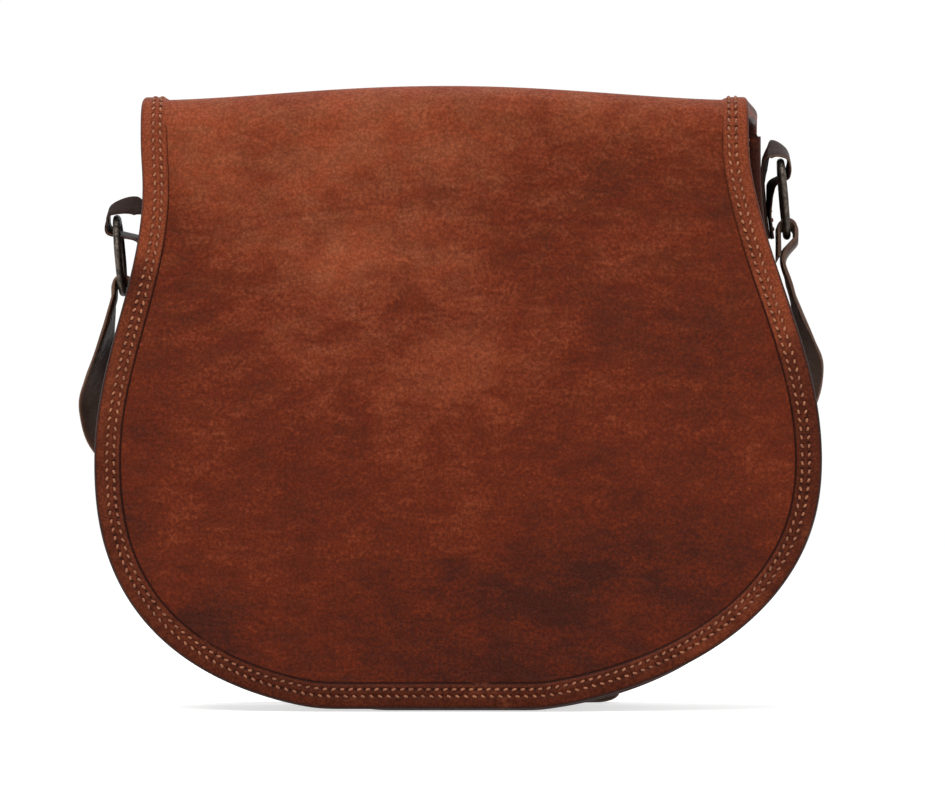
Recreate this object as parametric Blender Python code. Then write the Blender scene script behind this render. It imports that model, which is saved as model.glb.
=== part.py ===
# Leather sling bag with a horseshoe flap, side rings and a shoulder strap.
# Metres, +Z up. The front of the bag faces -Y and the bag stands on its bottom at Z = 0.
import math

import bmesh
import bpy
from mathutils import Vector

GAP = 0.0003
CUT_OVERRUN = 0.004

# Flap, as seen from the front
FLAP_HALF_WIDTH = 0.1388
FLAP_WIDEST_LEVEL = 0.0970
FLAP_NARROW_HALF = 0.1157
FLAP_NARROW_LEVEL = 0.2150
FLAP_TOP_LEVEL = 0.2360
FLAP_ARCH = 0.0055
FLAP_FOOT_LEVEL = 0.0010
FLAP_LOW_DRIFT = 0.0110
FLAP_HIGH_DRIFT = 0.0052
FLAP_THICKNESS = 0.0020
FLAP_LINING_THICKNESS = 0.0008
FLAP_FRONT_DEPTH = 0.0425
FLAP_CROWN = 0.0050
FLAP_BEND_RADIUS = 0.0110
REAR_BEND_RADIUS = 0.0080
REAR_TOP_DROP = 0.0030
FOLD_PIVOT_STAND_SHARE = 1.2
ROUNDNESS = 2.3

# Body of the bag
BODY_HALF_WIDTH = 0.1310
BODY_WIDEST_LEVEL = 0.0970
BODY_NARROW_HALF = 0.1155
BODY_NARROW_LEVEL = 0.2130
BODY_TOP_LEVEL = 0.2220
BODY_FOOT_OVERREACH = 0.0015
WALL_THICKNESS = 0.0020
FRONT_WALL_FACE = 0.0290
BACK_WALL_FACE = 0.0330

# Gusset between the walls
GUSSET_THICKNESS = 0.0016
GUSSET_FLANGE = 0.0070
GUSSET_FLAT_WIDTH = 0.0240
GUSSET_TOP_LEVEL = 0.2230

# Folded edge bindings
BINDING_THICKNESS = 0.0012
BINDING_REACH = 0.0090
BODY_BINDING_REACH = 0.0065

# Linings and pockets
LINING_THICKNESS = 0.0008
LINING_DROP = 0.0110
POCKET_INSET = 0.0130
POCKET_TOP_LEVEL = 0.1620
POCKET_THICKNESS = 0.0016
POCKET_SWELL = 0.0062
POCKET_SWELL_WIDTH = 0.0220
POCKET_BINDING_REACH = 0.0080

# Magnetic snap
SNAP_LEVEL = 0.0720
SNAP_RADIUS = 0.0090
SNAP_SOCKET_HEIGHT = 0.0026
SNAP_STUD_HEIGHT = 0.0018
SNAP_HOLE_RADIUS = 0.0046
SNAP_PIN_RADIUS = 0.0030
SNAP_PIN_LENGTH = 0.0018
SNAP_EDGE = 0.0005

# Zip pocket in the back wall
ZIP_LENGTH = 0.1600
ZIP_LEVEL = 0.1700
ZIP_WINDOW_HEIGHT = 0.0110
ZIP_TAPE_HEIGHT = 0.0280
ZIP_TAPE_THICKNESS = 0.0007
ZIP_TOOTH_PITCH = 0.0040
ZIP_TOOTH_LENGTH = 0.0024
ZIP_TOOTH_THICKNESS = 0.0013
ZIP_CORD_HEIGHT = 0.0012
SLIDER_LENGTH = 0.0100
SLIDER_WIDTH = 0.0086
SLIDER_PLATE = 0.0009
SLIDER_LOOP_HEIGHT = 0.0034
SLIDER_LOOP_WIDTH = 0.0016
SLIDER_LOOP_SPAN = 0.0060
PULLER_LENGTH = 0.0340
PULLER_WIDTH = 0.0110
PULLER_NECK_WIDTH = 0.0062
PULLER_THICKNESS = 0.0011
PULLER_EYE_SHARE = 0.75
PULLER_EYE_WALL = 0.0008
PULLER_EYE_OPENING = math.radians(14)
ZIP_POCKET_HEIGHT = 0.1150
ZIP_POCKET_THICKNESS = 0.0022
ZIP_MARGIN = 0.0100

# Side tabs and rings
RING_RADIUS = 0.0145
RING_WIRE_RADIUS = 0.0015
RING_RIGHT_LEVEL = 0.1985
RING_LEFT_LEVEL = 0.1765
RING_RIGHT_STAND = 0.0090
RING_LEFT_STAND = 0.0120
TAB_WIDTH = 0.0160
TAB_THICKNESS = 0.0013
TAB_RISE = 0.0085
TAB_RIGHT_FOOT = 0.1830
TAB_LEFT_FOOT = 0.1690
TAB_LEAN_SHARE = 0.6
TAB_SHOULDER_SHARE = 0.55
TAB_SHOULDER_RISE_SHARE = 0.4
TAB_HIP_SHARE = 0.5
TAB_HIP_RISE_SHARE = 0.6
TAB_THROAT_DROP_SHARE = 0.8
TAB_THROAT_CLEARANCE = 0.0015
TAB_STITCH_DROP_SHARE = 1.6
TAB_SEATS = 7

# Shoulder strap
STRAP_WIDTH = 0.0180
STRAP_THICKNESS = 0.0020
STRAP_EYE = 0.0009
PILE_SHARES = (-1, -0.6, -0.2, 0.2, 0.6, 1)
STRAP_LOOP_LAP = 0.0240
LOOP_PINCH_SHARE = 0.95
LOOP_END_SHARES = (0.45, 0.2)
LOOP_RUN_SHARE = 0.14
STRAP_BEHIND = 0.0500
PILE_RUN = 0.1060
PILE_LAYERS = 5
PILE_PITCH = 0.0043
PILE_FAN = 0.0022
PILE_BULGE = 0.0090
STRAP_TIP_LAP = 0.0400
KEEPER_WIDTH = 0.0100
KEEPER_THICKNESS = 0.0014
BUCKLE_WIRE_RADIUS = 0.0013
BUCKLE_LENGTH = 0.0220
BUCKLE_WIDTH = 0.0280
PRONG_RADIUS = 0.0011


def clear_scene():
    for item in list(bpy.data.objects):
        bpy.data.objects.remove(item, do_unlink=True)


def make_material(name, colour, roughness, metallic=0.0):
    material = bpy.data.materials.new(name)
    material.use_nodes = True
    shader = material.node_tree.nodes["Principled BSDF"]
    shader.inputs["Base Color"].default_value = (*colour, 1.0)
    shader.inputs["Roughness"].default_value = roughness
    shader.inputs["Metallic"].default_value = metallic
    material.diffuse_color = (*colour, 1.0)
    return material


def make_object(name, bm, material, origin=None):
    bmesh.ops.recalc_face_normals(bm, faces=bm.faces)
    if origin is not None:
        bmesh.ops.translate(bm, verts=bm.verts, vec=-origin)
    mesh = bpy.data.meshes.new(name)
    bm.to_mesh(mesh)
    bm.free()
    mesh.shade_smooth()
    mesh.set_sharp_from_angle(angle=math.radians(40))
    item = bpy.data.objects.new(name, mesh)
    item.data.materials.append(material)
    if origin is not None:
        item.location = origin
    bpy.context.scene.collection.objects.link(item)
    return item


def loft(rings, closed=False):
    """Skin a row of equal rings of points into one closed solid."""
    bm = bmesh.new()
    rows = [[bm.verts.new(point) for point in ring] for ring in rings]
    count = len(rows[0])
    pairs = list(zip(rows, rows[1:]))
    if closed:
        pairs.append((rows[-1], rows[0]))
    for first, second in pairs:
        for k in range(count):
            after = (k + 1) % count
            bm.faces.new((first[k], first[after], second[after], second[k]))
    if not closed:
        bm.faces.new(list(reversed(rows[0])))
        bm.faces.new(rows[-1])
    return bm


def sheet(rows, thickness):
    """A bent sheet: rows of (point, outward normal) pairs, thickened inward."""
    bm = bmesh.new()
    outer = [[bm.verts.new(p) for p, n in row] for row in rows]
    inner = [[bm.verts.new(p - n * thickness) for p, n in row] for row in rows]
    last_row = len(rows) - 1
    last = len(rows[0]) - 1
    for i in range(last_row):
        for j in range(last):
            bm.faces.new((outer[i][j], outer[i][j + 1], outer[i + 1][j + 1], outer[i + 1][j]))
            bm.faces.new((inner[i + 1][j], inner[i + 1][j + 1], inner[i][j + 1], inner[i][j]))
        for j in (0, last):
            bm.faces.new((outer[i][j], outer[i + 1][j], inner[i + 1][j], inner[i][j]))
    for i in (0, last_row):
        for j in range(last):
            bm.faces.new((outer[i][j + 1], outer[i][j], inner[i][j], inner[i][j + 1]))
    return bm


def prism(outline, start, end):
    """An outline in X and Z, extruded along Y from start to end."""
    bm = bmesh.new()
    face = bm.faces.new([bm.verts.new((x, start, z)) for x, z in outline])
    result = bmesh.ops.extrude_face_region(bm, geom=[face])
    moved = [v for v in result["geom"] if isinstance(v, bmesh.types.BMVert)]
    bmesh.ops.translate(bm, verts=moved, vec=Vector((0, end - start, 0)))
    return bm


def cut(item, cutter_mesh, name):
    cutter = make_object(name, cutter_mesh, item.data.materials[0])
    cutter.hide_render = True
    cutter.display_type = "WIRE"
    cutter.hide_viewport = False
    boolean = item.modifiers.new("Cut " + name, "BOOLEAN")
    boolean.operation = "DIFFERENCE"
    boolean.solver = "EXACT"
    boolean.object = cutter
    return cutter


def smooth_curve(points, steps):
    """Points along a Catmull-Rom curve through the given points."""
    result = []
    for i in range(len(points) - 1):
        before = points[max(i - 1, 0)]
        start, end = points[i], points[i + 1]
        after = points[min(i + 2, len(points) - 1)]
        for s in range(steps):
            t = s / steps
            result.append(0.5 * (2 * start + (end - before) * t
                                 + (2 * before - 5 * start + 4 * end - after) * t ** 2
                                 + (3 * start - before - 3 * end + after) * t ** 3))
    result.append(points[-1].copy())
    return result


def narrowing(z, wide, wide_level, narrow, narrow_level):
    share = min(max((z - wide_level) / (narrow_level - wide_level), 0), 1)
    return narrow + (wide - narrow) * (0.5 + 0.5 * math.cos(math.pi * share))


def rounding(z, wide, wide_level, foot_level):
    share = min((wide_level - z) / (wide_level - foot_level), 1)
    return wide * (1 - share ** ROUNDNESS) ** (1 / ROUNDNESS)


def body_half(z):
    if z > BODY_WIDEST_LEVEL:
        return narrowing(z, BODY_HALF_WIDTH, BODY_WIDEST_LEVEL, BODY_NARROW_HALF, BODY_NARROW_LEVEL)
    return rounding(z, BODY_HALF_WIDTH, BODY_WIDEST_LEVEL, BODY_EDGE_FOOT - BODY_FOOT_OVERREACH)


def flap_half(z):
    if z > FLAP_WIDEST_LEVEL:
        return narrowing(z, FLAP_HALF_WIDTH, FLAP_WIDEST_LEVEL, FLAP_NARROW_HALF, FLAP_NARROW_LEVEL)
    return rounding(z, FLAP_HALF_WIDTH, FLAP_WIDEST_LEVEL, FLAP_FOOT_LEVEL - BODY_FOOT_OVERREACH)


def flap_centre(z):
    """The flap hangs a little to the left at its top and at its foot."""
    low = max(FLAP_WIDEST_LEVEL - z, 0) / FLAP_WIDEST_LEVEL
    high = min(max(z - FLAP_WIDEST_LEVEL, 0) / (FLAP_NARROW_LEVEL - FLAP_WIDEST_LEVEL), 1)
    return -FLAP_LOW_DRIFT * low ** 2 - FLAP_HIGH_DRIFT * high ** 3


def levels(top, wide_level, foot, upper_count, lower_count):
    """Levels from the top to the foot, closer together near the foot."""
    result = [top + (wide_level - top) * k / upper_count for k in range(upper_count)]
    for k in range(lower_count + 1):
        result.append(wide_level - (wide_level - foot) * math.sin(math.pi / 2 * k / lower_count))
    return result


BINDING_STAND = BINDING_THICKNESS + GAP
BODY_EDGE_FOOT = BINDING_STAND
FLAP_TOTAL = FLAP_THICKNESS + FLAP_LINING_THICKNESS + GAP


def edge_frames(points, faces, closed=False):
    """Frames along an edge: each point with its outward direction and face normal."""
    frames = []
    last = len(points) - 1
    for i, point in enumerate(points):
        before = points[i - 1] if closed or i > 0 else point
        after = points[(i + 1) % len(points)] if closed or i < last else point
        tangent = (after - before).normalized()
        frames.append((point, tangent.cross(faces[i]).normalized(), faces[i]))
    return frames


def sweep(frames, section, closed=False):
    rings = [[p + out * u + face * v for u, v in section] for p, out, face in frames]
    return loft(rings, closed)


def binding_section(core, front_reach, inner_reach):
    """A strip folded over an edge whose sheets are core thick together."""
    top = GAP + BINDING_THICKNESS
    bottom = -core - top
    soft = BINDING_THICKNESS / 2
    return [(-front_reach, top), (top - soft, top), (top, top - soft), (top, bottom + soft),
            (top - soft, bottom), (-inner_reach, bottom), (-inner_reach, -core - GAP),
            (GAP, -core - GAP), (GAP, GAP), (-front_reach, GAP)]


def body_levels(top):
    return levels(top, BODY_WIDEST_LEVEL, BODY_EDGE_FOOT, 8, 11)


def body_run(top):
    """The body's outline from its left top down round the foot to its right top."""
    left = [(-body_half(z), z) for z in body_levels(top)]
    return left + [(-x, z) for x, z in reversed(left)]


FRONT_INNER = -FRONT_WALL_FACE + WALL_THICKNESS + GAP
BACK_INNER = BACK_WALL_FACE - WALL_THICKNESS - GAP
BODY_MIDDLE = (FRONT_INNER + BACK_INNER) / 2
REAR_TOP_LEVEL = FLAP_TOP_LEVEL - REAR_TOP_DROP
MITRE_ANGLE = math.radians(45)


def rear_bend_point(x, angle):
    """A point and normal on the fold from the back wall (0) up to the crown (90 degrees)."""
    normal = Vector((0, math.cos(angle), math.sin(angle)))
    centre = Vector((x, BACK_WALL_FACE - REAR_BEND_RADIUS, REAR_TOP_LEVEL - REAR_BEND_RADIUS))
    return centre + normal * REAR_BEND_RADIUS, normal


def arch(share):
    """The crown's rise, from its middle (0) to its sides (1)."""
    return FLAP_ARCH * (1 - share ** 2) ** 2


def front_bend_point(x, share, angle):
    """A point and normal on the fold from the crown (0) down to the front (90 degrees)."""
    normal = Vector((0, -math.sin(angle), math.cos(angle)))
    level = FLAP_TOP_LEVEL - FLAP_BEND_RADIUS + arch(share)
    centre = Vector((x, -FLAP_FRONT_DEPTH + FLAP_BEND_RADIUS, level))
    return centre + normal * FLAP_BEND_RADIUS, normal


def flap_edge(z, share):
    return flap_centre(z) + share * flap_half(z)


def shares(count):
    return [2 * k / count - 1 for k in range(count + 1)]


FLAP_COLUMNS = 12
BEND_ROWS = 3


def flap_front_rows(setback=0, start_level=None):
    """Rows of the flap from its front fold to its foot, set back from the outer face."""
    rows = []
    slack = GAP / 2 / FLAP_BEND_RADIUS
    fold_level = FLAP_TOP_LEVEL - FLAP_BEND_RADIUS
    if start_level is None:
        for k in range(BEND_ROWS):
            angle = MITRE_ANGLE + slack + (math.pi / 2 - MITRE_ANGLE - slack) * k / BEND_ROWS
            rows.append([front_bend_point(flap_edge(FLAP_TOP_LEVEL, s), s, angle)
                         for s in shares(FLAP_COLUMNS)])
    top = fold_level if start_level is None else start_level
    for z in levels(top, FLAP_WIDEST_LEVEL, FLAP_FOOT_LEVEL + BINDING_STAND, 8, 10):
        row = []
        fall = (fold_level - z) / (fold_level - FLAP_FOOT_LEVEL)
        fade = max(1 - 2 * fall, 0)
        for s in shares(FLAP_COLUMNS):
            crown = FLAP_CROWN * (1 - s ** 2) ** 2 * math.sin(math.pi * fall) ** 2
            y = -FLAP_FRONT_DEPTH - crown + setback
            row.append((Vector((flap_edge(z, s), y, z + arch(s) * fade)), Vector((0, -1, 0))))
        rows.append(row)
    return rows


def flap_top_rows():
    """Rows of the crown from the rear fold to the front fold."""
    rows = []
    slack = GAP / 2 / REAR_BEND_RADIUS
    for k in range(BEND_ROWS):
        angle = MITRE_ANGLE + slack + (math.pi / 2 - MITRE_ANGLE - slack) * k / BEND_ROWS
        rows.append([rear_bend_point(BODY_NARROW_HALF * s, angle) for s in shares(FLAP_COLUMNS)])
    start = BACK_WALL_FACE - REAR_BEND_RADIUS
    end = -FLAP_FRONT_DEPTH + FLAP_BEND_RADIUS
    strips = 5
    for k in range(strips + 1):
        t = k / strips
        rise = t * t * (3 - 2 * t)
        row = []
        for s in shares(FLAP_COLUMNS):
            x = BODY_NARROW_HALF * s + (flap_edge(FLAP_TOP_LEVEL, s) - BODY_NARROW_HALF * s) * rise
            z = REAR_TOP_LEVEL + (FLAP_TOP_LEVEL + arch(s) - REAR_TOP_LEVEL) * rise
            row.append((Vector((x, start + (end - start) * t, z)), Vector((0, 0, 1))))
        rows.append(row)
    slack = GAP / 2 / FLAP_BEND_RADIUS
    for k in range(1, BEND_ROWS + 1):
        angle = (MITRE_ANGLE - slack) * k / BEND_ROWS
        rows.append([front_bend_point(flap_edge(FLAP_TOP_LEVEL, s), s, angle) for s in shares(FLAP_COLUMNS)])
    return rows


REAR_PIVOT_STAND = BINDING_STAND * FOLD_PIVOT_STAND_SHARE
REAR_HINGE = rear_bend_point(0, MITRE_ANGLE)[0] + rear_bend_point(0, MITRE_ANGLE)[1] * REAR_PIVOT_STAND
FRONT_HINGE = front_bend_point(0, 0, MITRE_ANGLE)[0] + front_bend_point(0, 0, MITRE_ANGLE)[1] * GAP


def build_flap(leather, edging, cloth):
    rows = flap_front_rows()
    make_object("flap_front", sheet(rows, FLAP_THICKNESS), leather, FRONT_HINGE)
    facing = flap_front_rows(FLAP_THICKNESS + GAP, BODY_TOP_LEVEL)
    make_object("flap_lining", sheet(facing, FLAP_LINING_THICKNESS), cloth, FRONT_HINGE)
    edge = [row[0] for row in rows] + rows[-1][1:-1] + [row[-1] for row in reversed(rows)]
    frames = edge_frames([p for p, n in edge], [n for p, n in edge])
    section = binding_section(FLAP_TOTAL, BINDING_REACH, BINDING_REACH)
    make_object("flap_front_binding", sweep(frames, section), edging, FRONT_HINGE)

    crown = flap_top_rows()
    make_object("flap_top", sheet(crown, FLAP_THICKNESS), leather, REAR_HINGE)
    left = [row[0] for row in crown]
    right = [row[-1] for row in reversed(crown)]
    for name, side in (("flap_top_binding_left", left), ("flap_top_binding_right", right)):
        frames = edge_frames([p for p, n in side], [n for p, n in side])
        make_object(name, sweep(frames, section), edging, REAR_HINGE)


GUSSET_RISE_SHARES = ((0, 0), (0.5, 0.74), (1, 1))
SEAM_CORE = WALL_THICKNESS + GAP + GUSSET_THICKNESS
POCKET_FOOT = BODY_EDGE_FOOT + POCKET_INSET
LINING_BACK = BACK_INNER - ZIP_TAPE_THICKNESS - ZIP_POCKET_THICKNESS - GAP * 2
LINING_INSET = GUSSET_FLANGE + GAP * 2
FRONT = Vector((0, -1, 0))


def gusset_section():
    """Flanges sewn to both walls, and a web that swells out to a flat band."""
    t = GUSSET_THICKNESS
    outer = []
    low = -GUSSET_FLANGE + t
    for along, rise in GUSSET_RISE_SHARES:
        y = FRONT_INNER + t + (BODY_MIDDLE - GUSSET_FLAT_WIDTH / 2 - FRONT_INNER - t) * along
        outer.append((low + (BINDING_STAND - low) * rise, y))
    outer += [(u, 2 * BODY_MIDDLE - y) for u, y in reversed(outer)]
    inner = [(u - t, y) for u, y in outer]
    inner[0] = (-GUSSET_FLANGE, FRONT_INNER)
    inner[-1] = (-GUSSET_FLANGE, BACK_INNER)
    section = [(0, FRONT_INNER), (0, FRONT_INNER + t)] + outer + [(0, BACK_INNER - t), (0, BACK_INNER)]
    section += list(reversed(inner))
    return [(u, -y) for u, y in section]


def wall_path(outline, y):
    return [Vector((x, y, z)) for x, z in outline]


def inset(outline, distance):
    """The outline drawn in by a distance, level along its open top."""
    frames = edge_frames(wall_path(outline, 0), [FRONT] * len(outline))
    moved = [p - out * distance for p, out, face in frames]
    return [(p.x, min(p.z, outline[0][1])) for p in moved]


def build_body(leather, edging, cloth):
    run = body_run(GUSSET_TOP_LEVEL)
    frames = edge_frames(wall_path(run, 0), [FRONT] * len(run))
    make_object("gusset", sweep(frames, gusset_section()), leather)

    outline = body_run(BODY_TOP_LEVEL)
    front = prism(outline, -FRONT_WALL_FACE, -FRONT_WALL_FACE + WALL_THICKNESS)
    make_object("front_panel", front, leather)
    section = binding_section(SEAM_CORE, BINDING_REACH, BODY_BINDING_REACH / 2)
    frames = edge_frames(wall_path(outline, -FRONT_WALL_FACE), [FRONT] * len(outline))
    make_object("front_edge_binding", sweep(frames, section), edging)
    reach = BODY_NARROW_HALF - BINDING_REACH - GAP * 2
    ends = [Vector((x, -FRONT_WALL_FACE, BODY_TOP_LEVEL)) for x in (reach, -reach)]
    frames = edge_frames(ends, [FRONT] * len(ends))
    mouth_section = binding_section(WALL_THICKNESS, BINDING_REACH, BINDING_REACH)
    make_object("mouth_binding", sweep(frames, mouth_section), edging)

    rows = []
    slack = GAP / 2 / REAR_BEND_RADIUS
    for k in range(BEND_ROWS):
        angle = (MITRE_ANGLE - slack) * (1 - k / BEND_ROWS)
        rows.append([rear_bend_point(x, angle) for x in (-BODY_NARROW_HALF, BODY_NARROW_HALF)])
    for z in body_levels(REAR_TOP_LEVEL - REAR_BEND_RADIUS):
        rows.append([(Vector((x, BACK_WALL_FACE, z)), -FRONT) for x in (-body_half(z), body_half(z))])
    back = make_object("back_panel", sheet(rows, WALL_THICKNESS), leather)
    window = ZIP_WINDOW_HEIGHT / 2
    reach = ZIP_LENGTH / 2
    corners = [(-reach, ZIP_LEVEL - window), (reach, ZIP_LEVEL - window),
               (reach, ZIP_LEVEL + window), (-reach, ZIP_LEVEL + window)]
    cut(back, prism(corners, BACK_WALL_FACE - CUT_OVERRUN, BACK_WALL_FACE + CUT_OVERRUN), "zip_window_cutter")
    edge = [row[1] for row in rows] + [row[0] for row in reversed(rows)]
    frames = edge_frames([p for p, n in edge], [n for p, n in edge])
    make_object("back_edge_binding", sweep(frames, section), edging)

    lining_run = body_run(BODY_TOP_LEVEL - LINING_DROP)
    outer = prism(inset(lining_run, LINING_INSET), FRONT_INNER, LINING_BACK)
    lining = make_object("lining", outer, cloth)
    inner = inset(lining_run, LINING_INSET + LINING_THICKNESS)
    top = lining_run[0][1] + CUT_OVERRUN
    inner = [(inner[0][0], top)] + inner + [(inner[-1][0], top)]
    hollow = prism(inner, FRONT_INNER + LINING_THICKNESS, LINING_BACK - LINING_THICKNESS)
    cut(lining, hollow, "lining_hollow_cutter")


def pocket_half(z):
    if z > BODY_WIDEST_LEVEL:
        return body_half(z) - POCKET_INSET
    return rounding(z, BODY_HALF_WIDTH - POCKET_INSET, BODY_WIDEST_LEVEL, POCKET_FOOT - BODY_FOOT_OVERREACH)


def pocket_point(x, z):
    """The pocket's outer face: flat at its sewn rim, swelling out inside it."""
    rim = min(pocket_half(z) - abs(x), z - POCKET_FOOT)
    share = min(max(rim / POCKET_SWELL_WIDTH, 0), 1)
    swell = POCKET_SWELL * share * share * (3 - 2 * share)
    return Vector((x, -FRONT_WALL_FACE - GAP - POCKET_THICKNESS - swell, z))


def circle_ring(centre, radius, segments):
    ring = []
    for k in range(segments):
        angle = 2 * math.pi * k / segments
        ring.append(centre + Vector((radius * math.cos(angle), 0, radius * math.sin(angle))))
    return ring


def lathe(centre, stations, segments=24):
    """A turned solid on a Y axis: stations of (distance along Y, radius)."""
    return loft([circle_ring(centre + Vector((0, y, 0)), radius, segments) for y, radius in stations])


def turned_ring(centre, profile, segments=24):
    """A turned ring on a Y axis from a closed profile of (radius, distance along Y)."""
    rings = []
    for k in range(segments):
        angle = 2 * math.pi * k / segments
        spoke = Vector((math.cos(angle), 0, math.sin(angle)))
        rings.append([centre + spoke * r + Vector((0, y, 0)) for r, y in profile])
    return loft(rings, closed=True)


def circle_along_x(centre, radius, reach, segments=20):
    rings = []
    for x in (-reach, reach):
        ring = []
        for k in range(segments):
            angle = 2 * math.pi * k / segments
            ring.append(centre + Vector((x, radius * math.cos(angle), radius * math.sin(angle))))
        rings.append(ring)
    return loft(rings)


def join(item, mesh, name):
    boolean = cut(item, mesh, name)
    item.modifiers[-1].operation = "UNION"
    return boolean


def build_front_pocket(leather, edging, steel):
    rows = []
    for z in levels(POCKET_TOP_LEVEL, BODY_WIDEST_LEVEL, POCKET_FOOT, 4, 9):
        rows.append([(pocket_point(pocket_half(z) * s, z), FRONT) for s in shares(FLAP_COLUMNS)])
    make_object("front_pocket", sheet(rows, POCKET_THICKNESS), leather)
    edge = list(reversed(rows[0][1:-1]))
    frames = edge_frames([p for p, n in edge], [n for p, n in edge])
    section = binding_section(POCKET_THICKNESS, POCKET_BINDING_REACH, POCKET_BINDING_REACH)
    make_object("pocket_binding", sweep(frames, section), edging)

    seat = pocket_point(0, SNAP_LEVEL).y - GAP
    fold_level = FLAP_TOP_LEVEL - FLAP_BEND_RADIUS
    fall = (fold_level - SNAP_LEVEL + SNAP_RADIUS) / (fold_level - FLAP_FOOT_LEVEL)
    flap_face = -FLAP_FRONT_DEPTH - FLAP_CROWN * math.sin(math.pi * fall) ** 2
    stud_seat = flap_face + FLAP_TOTAL + GAP * 2
    stud_face = stud_seat + SNAP_STUD_HEIGHT
    socket_face = stud_face + GAP
    centre = Vector((0, 0, SNAP_LEVEL))
    profile = [(SNAP_HOLE_RADIUS, seat), (SNAP_RADIUS, seat), (SNAP_RADIUS, socket_face + SNAP_EDGE),
               (SNAP_RADIUS - SNAP_EDGE, socket_face), (SNAP_HOLE_RADIUS, socket_face)]
    make_object("snap_socket", turned_ring(centre, profile), steel)
    stations = [(stud_seat, SNAP_RADIUS), (stud_face - SNAP_EDGE, SNAP_RADIUS),
                (stud_face, SNAP_RADIUS - SNAP_EDGE), (stud_face, SNAP_PIN_RADIUS),
                (stud_face + SNAP_PIN_LENGTH - SNAP_EDGE, SNAP_PIN_RADIUS),
                (stud_face + SNAP_PIN_LENGTH, SNAP_PIN_RADIUS - SNAP_EDGE)]
    make_object("snap_stud", lathe(centre, stations), steel, FRONT_HINGE)


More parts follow.
